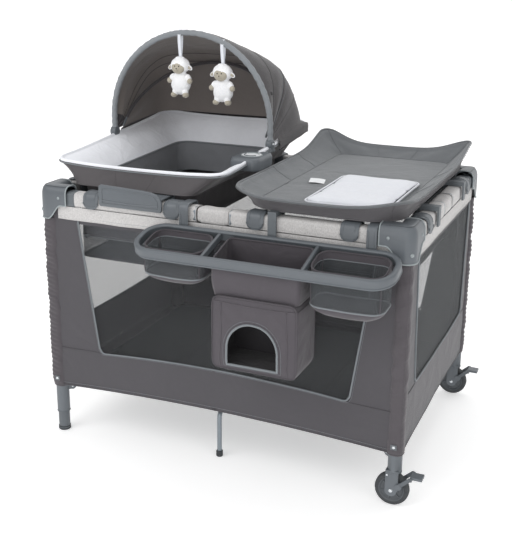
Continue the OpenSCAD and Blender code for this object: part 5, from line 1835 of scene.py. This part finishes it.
b.tube(np.column_stack([sx_, front_y(sx_, sz_) - 0.3, sz_]), 0.45, M_PIPE, seg=5, closed=True)
# lid seam and side pleats
for zz in (531.0,):
    x = np.linspace(66, 281, 40)
    z = np.full(40, zz) + 1.5 * np.sin(x / 40)
    b.tube(np.column_stack([x, front_y(x, z) - 0.5, z]), 1.2, M_BAG, seg=6)
for xx, lean in ((86.0, 4.0), (262.0, -4.0)):
    z = np.linspace(367, 529, 30)
    x = xx + lean * (z - 367) / 162 + 1.2 * np.sin(z / 22)
    b.tube(np.column_stack([x, front_y(x, z) - 0.2, z]), 1.1, M_BAG, seg=6)
for s, xx in ((-1, 64.0), (1, 283.0)):
    y = np.linspace(-503, -390, 20)
    b.tube(np.column_stack([np.full(20, xx) + s * 1.8 * np.sin(np.pi * (y + 507) / 121), y, np.full(20, 531.0)]), 1.1, M_BAG, seg=6)
so = b.obj("stacker_shell", "organizer", sharp=0)
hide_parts("organizer_bags")
b = MB()
rows = []
for t in np.linspace(0, 1, 8):
    y = -502 + 113 * t
    rows.append(np.column_stack([CX_ + (rx - CX_) * 0.955, np.full(N_, y), MZ_ + (rz - MZ_) * 0.955]))
b.grid(np.stack(rows), M_BAGIN, cv=True)
bk = [rows[-1] + np.array([0, 0.3, 0])]
for k in (0.7, 0.35, 0.03):
    P = rows[-1].copy()
    P[:, 0] = CX_ + (P[:, 0] - CX_) * k
    P[:, 2] = MZ_ + (P[:, 2] - MZ_) * k
    bk.append(P)
b.grid(np.stack(bk), M_BAGIN, cv=True)
fr_ = []
for t in np.linspace(0, 1, 4):
    x = ax_ + (CX_ + (rx - CX_) * 0.955 - ax_) * t
    z = az_ + (MZ_ + (rz - MZ_) * 0.955 - az_) * t
    fr_.append(np.column_stack([x, np.full(N_, -502.3), z]))
b.grid(np.stack(fr_), M_BAGIN, cv=True)
lo_ = b.obj("stacker_lining", "organizer", sharp=0)

# ------------------------------------------------- finishes of kept CAD nodes
def finish_node(n, mat, bevel=0.0, seg=2):
    o = NODES[n]
    if not o.material_slots:
        o.data.materials.append(mat)
    for s in o.material_slots:
        s.material = mat
    if bevel:
        m = o.modifiers.new("edge", "BEVEL")
        m.width = bevel / 1000
        m.segments = seg
        m.limit_method = "ANGLE"
        m.angle_limit = math.radians(40)
        m.use_clamp_overlap = True


for n in NODES:
    if n.startswith(("leg_", "rail_")):
        finish_node(n, M_STEEL)
    elif n.startswith(("floor_tube_", "centre_leg_")):
        finish_node(n, M_STEEL)
    elif n == "changer_frame":
        finish_node(n, M_SLATE2, 0.5)
    elif n == "hub" or n.startswith(("foot_", "brake_")):
        finish_node(n, M_SLATE, 1.0, 3)
    elif n.startswith("insert_clips"):
        finish_node(n, M_SLATE2, 0.8)
    else:
        finish_node(n, M_SLATE2, 0.6)

# ------------------------------------------------------- camera, light, floor
def cam_at(az, el, roll, dist, tgt):
    a, e, q = math.radians(az), math.radians(el), math.radians(roll)
    back = np.array([math.sin(a) * math.cos(e), -math.cos(a) * math.cos(e), math.sin(e)])
    r = np.cross(-back, [0, 0, 1.0])
    r /= np.linalg.norm(r)
    u = np.cross(r, -back)
    r2, u2 = math.cos(q) * r + math.sin(q) * u, -math.sin(q) * r + math.cos(q) * u
    pos = np.array(R(tgt)) + back * dist / 1000
    M = Matrix.Identity(4)
    for i in range(3):
        M[i][0], M[i][1], M[i][2], M[i][3] = r2[i], u2[i], back[i], pos[i]
    return M


cd = bpy.data.cameras.new("camera")
cam = bpy.data.objects.new("camera", cd)
bpy.context.scene.collection.objects.link(cam)
cd.sensor_width = 36
cd.sensor_fit = "AUTO"
cd.lens = 62.245
cd.shift_x = 0.0
cd.shift_y = -0.0604
cd.clip_end = 60
cam.matrix_world = cam_at(23.36, 16.41, 0.41, 2749.7, (-41.05, 0, 533.44))
bpy.context.scene.camera = cam


def area(name, loc, target, size, power, col=(1, 1, 1)):
    l = bpy.data.lights.new(name, "AREA")
    l.shape = "RECTANGLE"
    l.size, l.size_y = size
    l.energy = power
    l.color = col
    o = bpy.data.objects.new(name, l)
    bpy.context.scene.collection.objects.link(o)
    o.location = loc
    o.rotation_euler = (Vector(target) - Vector(loc)).to_track_quat("-Z", "Y").to_euler()
    return o


area("key", (-1.6, -2.6, 3.1), (0, 0, 0.5), (2.4, 1.8), 38)
area("fill", (2.8, -1.8, 2.2), (0, 0, 0.5), (2.2, 2.0), 14)
area("front", (0.5, -3.6, 1.15), (-0.1, 0.2, 0.85), (2.6, 1.6), 26)
area("top", (0.0, 0.6, 3.6), (0, 0, 0.4), (2.6, 2.0), 22)
w = bpy.data.worlds.new("soft_white")
w.use_nodes = True
w.node_tree.nodes["Background"].inputs[0].default_value = (1, 1, 1, 1)
w.node_tree.nodes["Background"].inputs[1].default_value = 0.52
bpy.context.scene.world = w
bpy.context.scene.view_settings.view_transform = "Standard"

gf = G("floor_paper")
fl_n = gf.noise(3, 2, 0.5)
gf.bsdf(gf.mix(fl_n, (0.90, 0.90, 0.90, 1), (0.93, 0.93, 0.93, 1)), 0.9, spec=0.1)
_pb = [k for k in gf.t.nodes if k.type == "BSDF_PRINCIPLED"][0]
_pb.inputs["Emission Color"].default_value = (1, 1, 1, 1)
_pb.inputs["Emission Strength"].default_value = 0.42
me = bpy.data.meshes.new("floor")
pts, fcs = [], []
prof = [(-9, 0.0), (3.2, 0.0)] + [(3.2 + 1.6 * math.sin(t), 1.6 * (1 - math.cos(t))) for t in np.linspace(0.1, math.pi / 2, 12)] + [(4.8, 8.0)]
for y, z in prof:
    pts += [(-11, y, z - 0.0005), (11, y, z - 0.0005)]
for i in range(len(prof) - 1):
    fcs.append((2 * i, 2 * i + 1, 2 * i + 3, 2 * i + 2))
me.from_pydata(pts, [], fcs)
me.materials.append(gf.mat)
me.polygons.foreach_set("use_smooth", [True] * len(me.polygons))
floor = bpy.data.objects.new("floor", me)
bpy.context.scene.collection.objects.link(floor)
